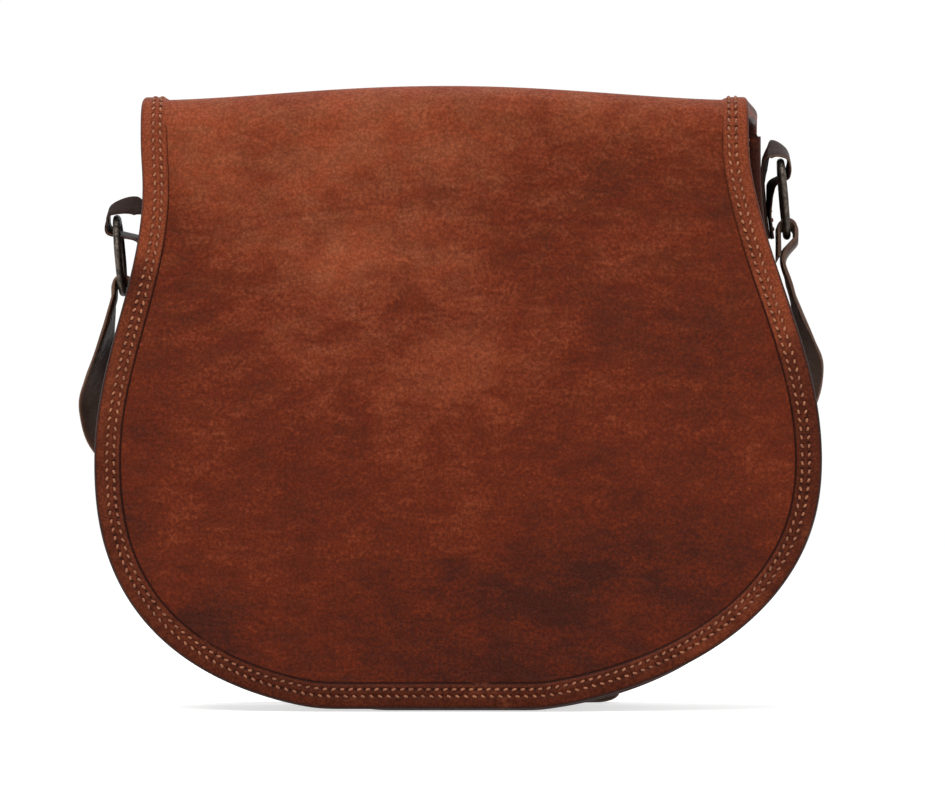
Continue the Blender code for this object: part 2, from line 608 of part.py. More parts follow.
def build_zip(cloth, brass, leather):
    """Tapes, interlocking teeth, slider, puller and pouch of the pocket in the back wall."""
    reach = ZIP_LENGTH / 2 + ZIP_MARGIN
    tape_face = BACK_INNER
    for name, side in (("zip_tape_upper", 1), ("zip_tape_lower", -1)):
        near = ZIP_LEVEL + side * GAP / 2
        far = ZIP_LEVEL + side * ZIP_TAPE_HEIGHT / 2
        corners = [(-reach, near), (reach, near), (reach, far), (-reach, far)]
        make_object(name, prism(corners, tape_face - ZIP_TAPE_THICKNESS, tape_face), cloth)

    teeth_face = tape_face + GAP
    half_tooth = (ZIP_TOOTH_PITCH / 2 - GAP) / 2
    row_reach = ZIP_LENGTH / 2 - GAP * 2
    count = int(2 * row_reach / ZIP_TOOTH_PITCH) - 1
    for name, side in (("zip_teeth_upper", 1), ("zip_teeth_lower", -1)):
        root = ZIP_LEVEL + side * (ZIP_TOOTH_LENGTH / 2 + GAP)
        tip = root - side * ZIP_TOOTH_LENGTH
        outer = root + side * ZIP_CORD_HEIGHT
        outline = [(-row_reach, outer), (-row_reach, root)]
        for k in range(count):
            x = (k - (count - 1) / 2 + side / 4) * ZIP_TOOTH_PITCH
            outline += [(x - half_tooth, root), (x - half_tooth, tip)]
            outline += [(x + half_tooth, tip), (x + half_tooth, root)]
        outline += [(row_reach, root), (row_reach, outer)]
        make_object(name, prism(outline, teeth_face, teeth_face + ZIP_TOOTH_THICKNESS), brass)

    teeth_half = ZIP_TOOTH_LENGTH / 2 + GAP + ZIP_CORD_HEIGHT
    plate_start = teeth_face + ZIP_TOOTH_THICKNESS + GAP
    plate_end = plate_start + SLIDER_PLATE
    half = SLIDER_WIDTH / 2
    flange_in = teeth_half + GAP
    start = SLIDER_HOME - SLIDER_LENGTH / 2
    end = SLIDER_HOME + SLIDER_LENGTH / 2
    section = [(half, teeth_face), (half, plate_end), (-half, plate_end), (-half, teeth_face),
               (-flange_in, teeth_face), (-flange_in, plate_start),
               (flange_in, plate_start), (flange_in, teeth_face)]
    rings = [[Vector((x, y, ZIP_LEVEL + z)) for z, y in section] for x in (start, end)]
    slider = make_object("zip_slider", loft(rings), brass, PULLER_HINGE)
    span = SLIDER_LOOP_SPAN / 2
    rise = plate_end + SLIDER_LOOP_HEIGHT
    inner = span - SLIDER_LOOP_WIDTH
    seat = plate_end - SLIDER_PLATE / 2
    bar = rise - SLIDER_LOOP_WIDTH
    staple = [(-span, seat), (-span, rise), (span, rise), (span, seat), (inner, seat), (inner, bar),
              (-inner, bar), (-inner, seat)]
    half_bar = SLIDER_LOOP_WIDTH / 2
    rings = [[Vector((SLIDER_HOME + x, y, ZIP_LEVEL + z)) for x, y in staple] for z in (-half_bar, half_bar)]
    join(slider, loft(rings), "slider_loop")

    eye_bore = SLIDER_LOOP_WIDTH * PULLER_EYE_SHARE + GAP
    eye_outer = eye_bore + PULLER_EYE_WALL
    neck = inner - GAP
    hinge = PULLER_HINGE
    foot = -PULLER_LENGTH
    neck_foot = foot + PULLER_THICKNESS
    thick = PULLER_THICKNESS / 2
    profile = [(thick, neck_foot)]
    steps = 14
    for k in range(steps + 1):
        angle = -math.pi / 2 + PULLER_EYE_OPENING + (2 * math.pi - 2 * PULLER_EYE_OPENING) * k / steps
        profile.append((eye_outer * math.cos(angle), eye_outer * math.sin(angle)))
    profile.append((-thick, neck_foot))
    rings = [[Vector((SLIDER_HOME + x, hinge.y + y, hinge.z + z)) for y, z in profile] for x in (-neck, neck)]
    puller = make_object("zip_puller", loft(rings), leather, PULLER_HINGE)
    bore = circle_along_x(hinge, eye_bore, neck + CUT_OVERRUN)
    cut(puller, bore, "puller_eye_cutter")
    wide = PULLER_WIDTH / 2
    narrow = PULLER_NECK_WIDTH / 2
    shoulder = hinge.z - eye_outer * 2
    toe = hinge.z + foot
    corner = PULLER_WIDTH / 4
    tongue = [(-narrow, shoulder), (-wide, shoulder - wide), (-wide, toe + corner), (-wide + corner, toe),
              (wide - corner, toe), (wide, toe + corner), (wide, shoulder - wide), (narrow, shoulder)]
    tongue = [(SLIDER_HOME + x, z) for x, z in tongue]
    join(puller, prism(tongue, hinge.y - thick - GAP / 2, hinge.y + thick + GAP / 2), "puller_tongue")

    cloth_thickness = ZIP_TAPE_THICKNESS
    face = tape_face - ZIP_TAPE_THICKNESS - GAP
    back = face - ZIP_POCKET_THICKNESS
    top = ZIP_LEVEL + ZIP_TAPE_HEIGHT / 2
    foot = top - ZIP_POCKET_HEIGHT
    lip = ZIP_LEVEL - ZIP_WINDOW_HEIGHT / 2
    t = cloth_thickness
    seam = top - ZIP_MARGIN / 2
    pouch = [(face, top), (face, seam), (back + t, seam), (back + t, foot + t), (face - t, foot + t),
             (face - t, lip), (face, lip), (face, foot), (back, foot), (back, top)]
    rings = [[Vector((x, y, z)) for y, z in pouch] for x in (-reach, reach)]
    make_object("zip_pocket_bag", loft(rings), cloth)


def gusset_face(z):
    """How far out the gusset's flat band lies at a level."""
    return body_half(z) + BINDING_STAND


RING_RIGHT = Vector((gusset_face(RING_RIGHT_LEVEL) + RING_RIGHT_STAND, 0, RING_RIGHT_LEVEL))
RING_LEFT = Vector((-gusset_face(RING_LEFT_LEVEL) - RING_LEFT_STAND, 0, RING_LEFT_LEVEL))
SLIDER_HOME = -ZIP_LENGTH / 2 + SLIDER_LENGTH / 2 + GAP * 3
PLATE_END = BACK_INNER + GAP + ZIP_TOOTH_THICKNESS + GAP + SLIDER_PLATE
PULLER_HINGE = Vector((SLIDER_HOME, PLATE_END + SLIDER_LOOP_HEIGHT - SLIDER_LOOP_WIDTH / 2, ZIP_LEVEL))
SWING_AXIS = (RING_RIGHT - RING_LEFT).normalized()
RING_UP = Vector((-SWING_AXIS.z, 0, SWING_AXIS.x))


def torus(centre, axis, radius, wire, around=32, sides=8):
    across = axis.cross(Vector((0, 1, 0))).normalized()
    other = axis.cross(across)
    rings = []
    for k in range(around):
        angle = 2 * math.pi * k / around
        spoke = across * math.cos(angle) + other * math.sin(angle)
        ring = []
        for s in range(sides):
            turn = 2 * math.pi * s / sides
            ring.append(centre + spoke * (radius + wire * math.cos(turn)) + axis * wire * math.sin(turn))
        rings.append(ring)
    return loft(rings, closed=True)


def ribbon(path, width, thickness, columns=1, drop=None, lean=None):
    """A strip along a path; drop bends each cross line to follow a round ring, lean turns it."""
    rings = []
    last = len(path) - 1
    side = Vector((0, 1, 0))
    for i, point in enumerate(path):
        tangent = (path[min(i + 1, last)] - path[max(i - 1, 0)]).normalized()
        across = (side - tangent * side.dot(tangent)).normalized()
        normal = tangent.cross(across)
        if lean:
            turn = lean(point)
            across, normal = (across * math.cos(turn) + normal * math.sin(turn),
                              normal * math.cos(turn) - across * math.sin(turn))
        upper, lower = [], []
        for k in range(columns + 1):
            u = (k / columns - 0.5) * width
            centre = point + across * u
            if drop:
                centre += Vector((0, 0, drop(i / last, u)))
            upper.append(centre + normal * thickness / 2)
            lower.append(centre - normal * thickness / 2)
        rings.append(upper + list(reversed(lower)))
    return loft(rings)


def build_tab(name, ring, side, foot, leather):
    """A strip doubled over the ring's top and sewn flat to the gusset."""
    t = TAB_THICKNESS
    top = ring + RING_UP * RING_RADIUS
    hold = RING_WIRE_RADIUS + GAP * 3 + t / 2
    sag = RING_RADIUS - math.sqrt(RING_RADIUS ** 2 - (TAB_WIDTH / 2) ** 2)
    inner = t / 2 + GAP * 2
    outer = inner + t + GAP
    wall = gusset_face(top.z) + inner
    rise = top.z + TAB_RISE
    middle = (top.z + rise) / 2
    wire = abs(top.x)
    low = top.z - hold - sag - TAB_THROAT_CLEARANCE
    seat_span = top.z - hold * 2 - foot
    seats = [foot + seat_span * k / TAB_SEATS for k in range(TAB_SEATS)]
    points = [(gusset_face(z) + inner, z) for z in seats]
    points += [(wall, top.z - hold),
               (wall + t * TAB_LEAN_SHARE, middle),
               ((wall + wire) / 2, rise),
               (wire + hold * TAB_SHOULDER_SHARE, middle + hold * TAB_SHOULDER_RISE_SHARE),
               (wire + hold + GAP, top.z),
               (wire + hold * TAB_HIP_SHARE, low + hold * TAB_HIP_RISE_SHARE),
               (gusset_face(low) + outer + t, low - t * TAB_THROAT_DROP_SHARE)]
    seam = low - hold * TAB_STITCH_DROP_SHARE
    points.append((gusset_face(seam) + outer + GAP, seam))
    seam_span = seam - hold - foot
    seats = [foot + seam_span * k / TAB_SEATS for k in range(TAB_SEATS - 2, -1, -1)]
    points += [(gusset_face(z) + outer, z) for z in seats]
    path = smooth_curve([Vector((x * side, 0, z)) for x, z in points], 3)
    make_object(name, ribbon(path, TAB_WIDTH, t), leather)


def strap_sag(u):
    """How far a ring's wire has curved up at a distance from its lowest point."""
    return RING_RADIUS - math.sqrt(RING_RADIUS ** 2 - u ** 2)


LOOP_HOLD = RING_WIRE_RADIUS + STRAP_EYE + STRAP_THICKNESS / 2
HEEL = Vector((0.0180, STRAP_BEHIND, 0.0270))
FAR_BAR = HEEL - Vector((BUCKLE_LENGTH - 2 * BUCKLE_WIRE_RADIUS, 0, 0))
BAR_HOLD = BUCKLE_WIRE_RADIUS + GAP + STRAP_THICKNESS / 2
LAY = STRAP_THICKNESS + GAP
TAIL_UNDER_SHARES = ((-0.5, -1.05), (0, -1), (0.2, -0.6))
TAIL_OVER_SHARES = ((-0.25, 0.85), (0, 1))
TIP_SHARES = (0.5, 1)
FOLD_SHARES = (1.1, 0)
SLOT_START_SHARE = 0.22
CORNER_SHARE = 1.6
PRONG_SHARES = (0.35, 0.7, 1)
KEEPER_START_SHARE = 0.3
PRONG_SWEEP = BUCKLE_WIRE_RADIUS + GAP * 2 + PRONG_RADIUS * 2

# Route of each leg, chosen by hand: beside the bag as (stand off the gusset, distance back, level),
# and behind it as (share of the body's half width, level)
LEG_RIGHT_BESIDE = ((0.0057, 0.001, 0.1740), (0.0063, 0.005, 0.1650), (0.0077, 0.011, 0.1570),
                    (0.0088, 0.020, 0.1460), (0.0090, 0.030, 0.1360), (0.0066, 0.041, 0.1260),
                    (0.0025, 0.048, 0.1160))
LEG_RIGHT_BEHIND_SHARES = ((0.962, 0.106), (0.885, 0.094), (0.794, 0.078), (0.714, 0.058), (0.641, 0.042),
                           (0.565, 0.0325))
LEG_LEFT_BESIDE = ((0.0111, 0.001, 0.1520), (0.0118, 0.009, 0.1420), (0.0120, 0.019, 0.1300),
                   (0.0117, 0.030, 0.1180), (0.0085, 0.041, 0.1060))
LEG_LEFT_BEHIND_SHARES = ((1.015, 0.095), (0.939, 0.085), (0.847, 0.071), (0.763, 0.054), (0.687, 0.034),
                          (0.603, 0.016), (0.519, 0.006))
LEG_RIGHT_LEAN = math.radians(35)
LEG_RIGHT_LEAN_LEVEL = 0.1300
LEG_RIGHT_LEAN_REACH = 0.0350
LEG_LEFT_LEAN = math.radians(50)
LEG_LEFT_LEAN_LEVEL = 0.1150
LEG_LEFT_LEAN_REACH = 0.0420


def leg_lean(side, most, level, reach):
    """How far a leg turns its flesh side to the front at a point, most at the given level."""
    def lean(point):
        off = abs(point.z - level) / reach
        if off >= 1 or point.x * side < 0:
            return 0
        return -side * most * math.cos(math.pi / 2 * off) ** 2
    return lean


def leg_route(side, beside, behind):
    """Points of a leg: along the gusset's side, then behind the back wall."""
    route = [Vector((side * (gusset_face(z) + stand), y, z)) for stand, y, z in beside]
    return route + [Vector((side * BODY_HALF_WIDTH * share, STRAP_BEHIND, z)) for share, z in behind]


def ring_foot(ring):
    return ring - RING_UP * RING_RADIUS


def end_loop(ring, cut_side):
    """The strap's fold over a ring's lowest point, from its cut end to its running side."""
    foot = ring_foot(ring)
    points = [foot + Vector((cut_side * LOOP_HOLD * LOOP_PINCH_SHARE, 0, -STRAP_LOOP_LAP * share))
              for share in LOOP_END_SHARES]
    for k in range(7):
        angle = math.pi * k / 6
        points.append(foot + Vector((cut_side * LOOP_HOLD * math.cos(angle), 0, LOOP_HOLD * math.sin(angle))))
    points.append(foot + Vector((-cut_side * LOOP_HOLD, 0, -STRAP_LOOP_LAP * LOOP_RUN_SHARE)))
    return points


def pile_point(layer, share):
    """A point of the folded pile: layers touch near the middle and fan out at the ends."""
    base = STRAP_THICKNESS / 2 + GAP
    end_pitch = PILE_PITCH + PILE_FAN
    pitch = PILE_PITCH + (end_pitch - PILE_PITCH) * share ** 2
    return Vector((share * PILE_RUN / 2, STRAP_BEHIND, base + layer * pitch))


def pile(layers):
    """Runs laid back and forth on one another, joined by round turns."""
    points = []
    for layer in range(layers):
        heading = 1 if layer % 2 == 0 else -1
        run = PILE_SHARES if layer < layers - 1 else PILE_SHARES[:2]
        points += [pile_point(layer, heading * share) for share in run]
        if layer < layers - 1:
            start = pile_point(layer, heading)
            end = pile_point(layer + 1, heading)
            middle = (start + end) / 2
            for k in range(1, 6):
                angle = math.pi * k / 6 - math.pi / 2
                half = (end.z - start.z) / 2
                bulge = heading * PILE_BULGE * math.cos(angle)
                points.append(middle + Vector((bulge, 0, half * math.sin(angle))))
    return points


def loop_drop(total, count):
    """Bend of the cross lines: full round the ring, fading out down the leg."""
    def drop(share, u):
        along = share * total
        fade = min(max((count - along) / (count / 3), 0), 1)
        return strap_sag(u) * fade
    return drop


def build_strap(leather, iron):
    loop = end_loop(RING_LEFT, 1)
    leg = leg_route(-1, LEG_LEFT_BESIDE, LEG_LEFT_BEHIND_SHARES)
    route = smooth_curve(loop[-1:] + leg + [pile_point(0, -1)], 3)[:-1]
    start = len(loop) + 7
    points = loop[:-1] + route
    points += pile(PILE_LAYERS)
    up = BAR_HOLD + LAY
    tail = [FAR_BAR + Vector((BUCKLE_LENGTH * x, 0, BAR_HOLD * z)) for x, z in TAIL_UNDER_SHARES]
    tail += [HEEL + Vector((BUCKLE_LENGTH * x, 0, up * z)) for x, z in TAIL_OVER_SHARES]
    tail += [HEEL + Vector((STRAP_TIP_LAP * share, 0, up)) for share in TIP_SHARES]
    points += smooth_curve(tail, 3)
    lean = leg_lean(-1, LEG_LEFT_LEAN, LEG_LEFT_LEAN_LEVEL, LEG_LEFT_LEAN_REACH)
    long = ribbon(points, STRAP_WIDTH, STRAP_THICKNESS, 4, loop_drop(len(points) - 1, start), lean)
    strap = make_object("strap_long", long, leather, RING_LEFT)
    slot = PRONG_RADIUS + GAP * 2
    slot_start = FAR_BAR.x + BUCKLE_LENGTH * SLOT_START_SHARE
    corners = [(slot_start, HEEL.z - up), (HEEL.x + PRONG_SWEEP, HEEL.z - up),
               (HEEL.x + PRONG_SWEEP, HEEL.z + up * 2), (slot_start, HEEL.z + up * 2)]
    cut(strap, prism(corners, STRAP_BEHIND - slot, STRAP_BEHIND + slot), "strap_slot_cutter")

    loop = end_loop(RING_RIGHT, -1)
    leg = smooth_curve([loop[-1]] + leg_route(1, LEG_RIGHT_BESIDE, LEG_RIGHT_BEHIND_SHARES)
                       + [HEEL + Vector((STRAP_TIP_LAP * share, 0, BAR_HOLD)) for share in FOLD_SHARES], 3)
    start = len(loop) + 7
    points = loop[:-1] + leg
    for k in range(1, 6):
        angle = math.pi / 2 + math.pi * k / 6
        points.append(HEEL + Vector((BAR_HOLD * math.cos(angle), 0, BAR_HOLD * math.sin(angle))))
    points += [HEEL + Vector((STRAP_LOOP_LAP * share, 0, -BAR_HOLD)) for share in (0, 0.5, 1)]
    lean = leg_lean(1, LEG_RIGHT_LEAN, LEG_RIGHT_LEAN_LEVEL, LEG_RIGHT_LEAN_REACH)
    short = ribbon(points, STRAP_WIDTH, STRAP_THICKNESS, 4, loop_drop(len(points) - 1, start), lean)
    strap = make_object("strap_short", short, leather, RING_RIGHT)
    corners = [(HEEL.x - BAR_HOLD * 2, HEEL.z - BAR_HOLD * 2), (HEEL.x + PRONG_SWEEP, HEEL.z - BAR_HOLD * 2),
               (HEEL.x + PRONG_SWEEP, HEEL.z + up - STRAP_THICKNESS / 2),
               (HEEL.x - BAR_HOLD * 2, HEEL.z + up - STRAP_THICKNESS / 2)]
    cut(strap, prism(corners, STRAP_BEHIND - slot, STRAP_BEHIND + slot), "strap_fold_cutter")

    make_object("ring_right", torus(RING_RIGHT, SWING_AXIS, RING_RADIUS, RING_WIRE_RADIUS), iron, RING_RIGHT)
    make_object("ring_left", torus(RING_LEFT, SWING_AXIS, RING_RADIUS, RING_WIRE_RADIUS), iron, RING_LEFT)


def build_buckle(leather, iron):
    middle = (HEEL + FAR_BAR) / 2
    reach = (HEEL.x - FAR_BAR.x) / 2
    half = BUCKLE_WIDTH / 2 - BUCKLE_WIRE_RADIUS
    corner = BUCKLE_WIRE_RADIUS * CORNER_SHARE
    centres = ((reach - corner, half - corner, 0), (-reach + corner, half - corner, 90),
               (-reach + corner, -half + corner, 180), (reach - corner, -half + corner, 270))
    rings = []
    for x, y, begin in centres:
        for k in range(5):
            angle = math.radians(begin + 90 * k / 4)
            spoke = Vector((math.cos(angle), math.sin(angle), 0))
            centre = middle + Vector((x, y, 0)) + spoke * corner
            ring = []
            for s in range(8):
                turn = 2 * math.pi * s / 8
                ring.append(centre + spoke * BUCKLE_WIRE_RADIUS * math.cos(turn)
                            + Vector((0, 0, BUCKLE_WIRE_RADIUS * math.sin(turn))))
            rings.append(ring)
    make_object("buckle_frame", loft(rings, closed=True), iron)

    hold = BUCKLE_WIRE_RADIUS + GAP + PRONG_RADIUS
    spine = [HEEL + Vector((hold * math.cos(a), 0, hold * math.sin(a)))
             for a in [math.radians(-150 + 240 * k / 8) for k in range(9)]]
    tip = FAR_BAR + Vector((-BUCKLE_WIRE_RADIUS, 0, hold))
    spine += [HEEL + (tip - HEEL) * share + Vector((0, 0, hold * (1 - share))) for share in PRONG_SHARES]
    rings = []
    last = len(spine) - 1
    for i, point in enumerate(spine):
        tangent = (spine[min(i + 1, last)] - spine[max(i - 1, 0)]).normalized()
        normal = tangent.cross(Vector((0, 1, 0)))
        ring = []
        for s in range(8):
            turn = 2 * math.pi * s / 8
            ring.append(point + normal * PRONG_RADIUS * math.cos(turn)
                        + Vector((0, PRONG_RADIUS * math.sin(turn), 0)))
        rings.append(ring)
    make_object("buckle_prong", loft(rings), iron, HEEL)

    low = HEEL.z - BAR_HOLD - STRAP_THICKNESS / 2 - GAP
    high = HEEL.z + BAR_HOLD + LAY + STRAP_THICKNESS / 2 + GAP
    wide = STRAP_WIDTH / 2 + GAP
    t = KEEPER_THICKNESS
    start = HEEL.x + BAR_HOLD + KEEPER_WIDTH * KEEPER_START_SHARE
    rings = []
    for y, z in ((wide, high), (-wide, high), (-wide, low), (wide, low)):
        out = math.copysign(t, y)
        up = t if z == high else -t
        rings.append([Vector((start, STRAP_BEHIND + y, z)),
                      Vector((start + KEEPER_WIDTH, STRAP_BEHIND + y, z)),
                      Vector((start + KEEPER_WIDTH, STRAP_BEHIND + y + out, z + up)),
                      Vector((start, STRAP_BEHIND + y + out, z + up))])
    make_object("strap_keeper", loft(rings, closed=True), leather)


def build():
    clear_scene()
    leather = make_material("leather", (0.19, 0.045, 0.024), 0.5)
    edging = make_material("edging", (0.10, 0.025, 0.015), 0.5)
    cloth = make_material("lining_cloth", (0.20, 0.16, 0.11), 0.9)
    steel = make_material("snap_steel", (0.45, 0.42, 0.38), 0.35, 1.0)
    brass = make_material("zip_brass", (0.35, 0.25, 0.12), 0.4, 1.0)
    iron = make_material("dark_iron", (0.05, 0.04, 0.035), 0.45, 1.0)
    build_flap(leather, edging, cloth)
    build_body(leather, edging, cloth)
    build_front_pocket(leather, edging, steel)
    build_zip(cloth, brass, leather)
    build_tab("tab_right", RING_RIGHT, 1, TAB_RIGHT_FOOT, leather)
    build_tab("tab_left", RING_LEFT, -1, TAB_LEFT_FOOT, leather)
    build_strap(leather, iron)
    build_buckle(leather, iron)


build()
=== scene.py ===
import math

import bmesh
import bpy
import numpy as np
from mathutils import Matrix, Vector


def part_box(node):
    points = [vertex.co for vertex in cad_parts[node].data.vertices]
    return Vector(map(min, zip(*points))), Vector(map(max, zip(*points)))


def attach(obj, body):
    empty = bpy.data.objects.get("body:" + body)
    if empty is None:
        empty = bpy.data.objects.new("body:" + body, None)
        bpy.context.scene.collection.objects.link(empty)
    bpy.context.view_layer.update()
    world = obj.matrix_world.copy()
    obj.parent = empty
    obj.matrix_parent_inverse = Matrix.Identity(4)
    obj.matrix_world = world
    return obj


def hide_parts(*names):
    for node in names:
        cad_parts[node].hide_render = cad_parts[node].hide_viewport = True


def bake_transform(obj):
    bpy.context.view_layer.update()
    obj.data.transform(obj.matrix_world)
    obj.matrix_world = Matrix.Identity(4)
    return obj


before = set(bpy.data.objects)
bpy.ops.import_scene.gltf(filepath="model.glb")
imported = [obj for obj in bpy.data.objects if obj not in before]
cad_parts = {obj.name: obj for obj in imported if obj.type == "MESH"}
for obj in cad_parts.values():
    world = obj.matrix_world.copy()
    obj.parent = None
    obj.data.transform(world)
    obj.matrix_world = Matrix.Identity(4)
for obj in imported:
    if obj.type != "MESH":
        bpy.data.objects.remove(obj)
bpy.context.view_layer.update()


# ---- Camera
# A long lens looks level at the middle of the flap's face, a touch from the right,
# so the rings and the strap behind the flap still show beyond its edge.
scene = bpy.context.scene
scene.view_settings.view_transform = "Standard"


def placed(name, data, spot=None, target=None):
    """Links an object into the scene, and turns it to its target from its spot."""
    item = bpy.data.objects.new(name, data)
    if spot:
        item.location = spot
        item.rotation_euler = (target - item.location).to_track_quat("-Z", "Y").to_euler()
    scene.collection.objects.link(item)
    return item


aim = Vector((0.0056, -0.043, 0.1201))
away, turned, seen_width = 3.0, math.radians(0.6), 0.3638
lens = bpy.data.cameras.new("product_camera")
lens.sensor_width = 36.0
lens.lens = lens.sensor_width * away / seen_width
stand_at = aim + away * Vector((math.sin(turned), -math.cos(turned), 0))
scene.camera = placed("product_camera", lens, stand_at, aim)


# ---- Floor and light
# White paper that lies flat under the bag, in a white room. It shows white to the camera and
# in gloss, and still takes the bag's soft shadow.
def maths(operation, swapped=False):
    """The Math node that an operator between a signal and a number or signal stands for."""
    def work(self, other):
        pair = (other, self) if swapped else (self, other)
        return self.finish.maths(operation, *pair)
    return work


class Signal:
    """A number out of a shader node. Sums and products of it add the nodes for them."""

    __add__ = __radd__ = maths("ADD")
    __mul__ = __rmul__ = maths("MULTIPLY")
    __sub__, __rsub__ = maths("SUBTRACT"), maths("SUBTRACT", True)
    __pow__, __rpow__ = maths("POWER"), maths("POWER", True)
    __truediv__ = maths("DIVIDE")
    __mod__ = maths("FLOORED_MODULO")

    def __init__(self, finish, socket):
        self.finish, self.socket = finish, socket

    def __neg__(self):
        return self * -1.0


class Finish:
    """One material, or the room itself, whose nodes all come from its node method."""

    def __init__(self, name, roughness=0.5, metallic=0.0, specular=0.5,
                 kind=bpy.data.materials, base="Principled BSDF"):
        self.material = kind.new(name)
        self.material.use_nodes = True
        self.tree = self.material.node_tree
        self.shader = self.tree.nodes[base]
        if base == "Principled BSDF":
            self.feed("Roughness", roughness)
            self.feed("Metallic", metallic)
            self.feed("Specular IOR Level", specular)

    def feed(self, socket, value):
        socket = self.shader.inputs[socket] if isinstance(socket, str) else socket
        value = value.socket if isinstance(value, Signal) else value
        if isinstance(value, bpy.types.NodeSocket):
            self.tree.links.new(value, socket)
        else:
            socket.default_value = value

    def node(self, kind, settings=(), inputs=()):
        made = self.tree.nodes.new(kind)
        for key, value in dict(settings).items():
            if key == "stops":
                ends = made.color_ramp.elements
                ends[0].position, ends[0].color = value[0][0], (*value[0][1], 1)
                ends[1].position, ends[1].color = value[-1][0], (*value[-1][1], 1)
                for place, colour in value[1:-1]:
                    ends.new(place).color = (*colour, 1)
            else:
                setattr(made, key, value)
        for key, value in dict(inputs).items():
            self.feed(made.inputs[key], value)
        return made

    def number(self, kind, settings=(), inputs=()):
        return Signal(self, self.node(kind, settings, inputs).outputs[0])

    def maths(self, operation, *values):
        return self.number("ShaderNodeMath", {"operation": operation}, enumerate(values))

    def place(self, kind="Object", stretch=(1, 1, 1)):
        at = self.node("ShaderNodeTexCoord").outputs[kind]
        return self.node("ShaderNodeVectorMath", {"operation": "MULTIPLY"},
                         {0: at, 1: stretch}).outputs[0]

    def axes(self, vector):
        parts = self.node("ShaderNodeSeparateXYZ", {}, {0: vector}).outputs
        return [Signal(self, part) for part in parts]

    def noise(self, vector, size, detail=3.0, rough=0.5, bent=0.0):
        """Cloudy noise with patches of about that size in metres, from 0 to 1."""
        return self.number("ShaderNodeTexNoise", {}, {
            "Vector": vector, "Scale": 1 / size, "Detail": detail, "Roughness": rough,
            "Distortion": bent})

    def ramp(self, value, low, high, to_low=0.0, to_high=1.0):
        return self.number("ShaderNodeMapRange", {"interpolation_type": "SMOOTHSTEP"},
                           {0: value, 1: low, 2: high, 3: to_low, 4: to_high})

    def mix(self, share, first, second, how="MIX"):
        first, second = [(*c, 1) if isinstance(c, tuple) else c for c in (first, second)]
        return self.node("ShaderNodeMix", {"data_type": "RGBA", "blend_type": how},
                         {0: share, 6: first, 7: second}).outputs[2]

    def glazed(self, share, colour, tint):
        """The colour with a share of a thin glaze of the tint over it."""
        return self.mix(share, colour, self.mix(1.0, colour, tint, "MULTIPLY"))

    def relief(self, height, depth, under=None):
        """Bump from a height of 0 to 1 that stands for that depth in metres."""
        inputs = {"Height": height, "Distance": depth, "Strength": 1.0}
        if under:
            inputs["Normal"] = under
        return self.node("ShaderNodeBump", {}, inputs).outputs[0]

    def shows(self, dim, bright, output):
        """Mixes two shaders: the bright one for rays that see this place itself."""
        rays = self.node("ShaderNodeLightPath").outputs
        seen = self.maths("MAXIMUM", rays["Is Camera Ray"], rays["Is Glossy Ray"])
        seen = self.maths("MAXIMUM", seen, rays["Is Transmission Ray"])
        both = self.node("ShaderNodeMixShader", {}, {0: seen, 1: dim, 2: bright}).outputs[0]
        if output == "Material Output":
            both = self.node("ShaderNodeAddShader", {},
                             {0: self.shader.outputs[0], 1: both}).outputs[0]
        self.feed(self.tree.nodes[output].inputs["Surface"], both)


white, black = (1, 1, 1, 1), (0, 0, 0, 1)
paper = Finish("backdrop_paper", 0.9, specular=0.1)
paper.feed("Base Color", (0.78, 0.78, 0.775, 1))
glow = paper.node("ShaderNodeEmission", {}, {"Color": white, "Strength": 0.66})
dark = paper.node("ShaderNodeEmission", {}, {"Color": black, "Strength": 0.0})
paper.shows(dark.outputs[0], glow.outputs[0], "Material Output")

sheet = bmesh.new()
bmesh.ops.create_circle(sheet, cap_ends=True, segments=96, radius=3.2)
floor = bpy.data.meshes.new("floor")
sheet.to_mesh(floor)
sheet.free()
floor.materials.append(paper.material)
floor = placed("floor", floor)

room = Finish("studio", kind=bpy.data.worlds, base="Background")
scene.world = room.material
room.feed("Color", white)
room.feed("Strength", 0.45)
behind = room.node("ShaderNodeBackground", {}, {"Color": white, "Strength": 1.02})
room.shows(room.shader.outputs[0], behind.outputs[0], "World Output")

lit_at = Vector((0, 0, 0.12))
for name, spot, size, power in (("key", (-0.9, -1.9, 1.9), 1.1, 46),
                                ("fill", (1.6, -1.6, 0.9), 1.4, 14),
                                ("top", (0.0, 0.3, 2.2), 1.2, 16)):
    lamp = bpy.data.lights.new(name, "AREA")
    lamp.shape, lamp.size, lamp.energy = "DISK", size, power
    placed(name, lamp, spot, lit_at)


# ---- Flap and back, one hide
# One piece of vegetable-tanned goat leather: the back wall goes up over the crown and comes
# down in front as the horseshoe flap. It is shown as two meshes that meet on the crown.
front, rear, upward = Vector((0, -1, 0)), Vector((0, 1, 0)), Vector((0, 0, 1))
gap = 0.0003
hide = 0.002
flap_widest, flap_level = 0.1388, 0.097
flap_narrow, flap_narrow_level = 0.1157, 0.215
flap_top, flap_depth, front_fold = 0.236, 0.0425, 0.011
flap_foot, flap_swell, top_arch = 0.001, 0.005, 0.0055
low_drift, high_drift = 0.011, 0.0052
back_face, rear_fold, rear_top = 0.033, 0.008, 0.233
body_widest, body_narrow, body_narrow_level = 0.131, 0.1155, 0.213
past_foot, sheet_foot = 0.0015, 0.0025
strip = 0.0012
stand = strip + gap
roundness = 2.3
fold_level = flap_top - front_fold
quarter = math.pi / 2


def clamped(share):
    return min(max(share, 0), 1)


def tapered(z, wide, wide_level, narrow, narrow_level):
    share = clamped((z - wide_level) / (narrow_level - wide_level))
    return narrow + (wide - narrow) * (0.5 + 0.5 * math.cos(math.pi * share))


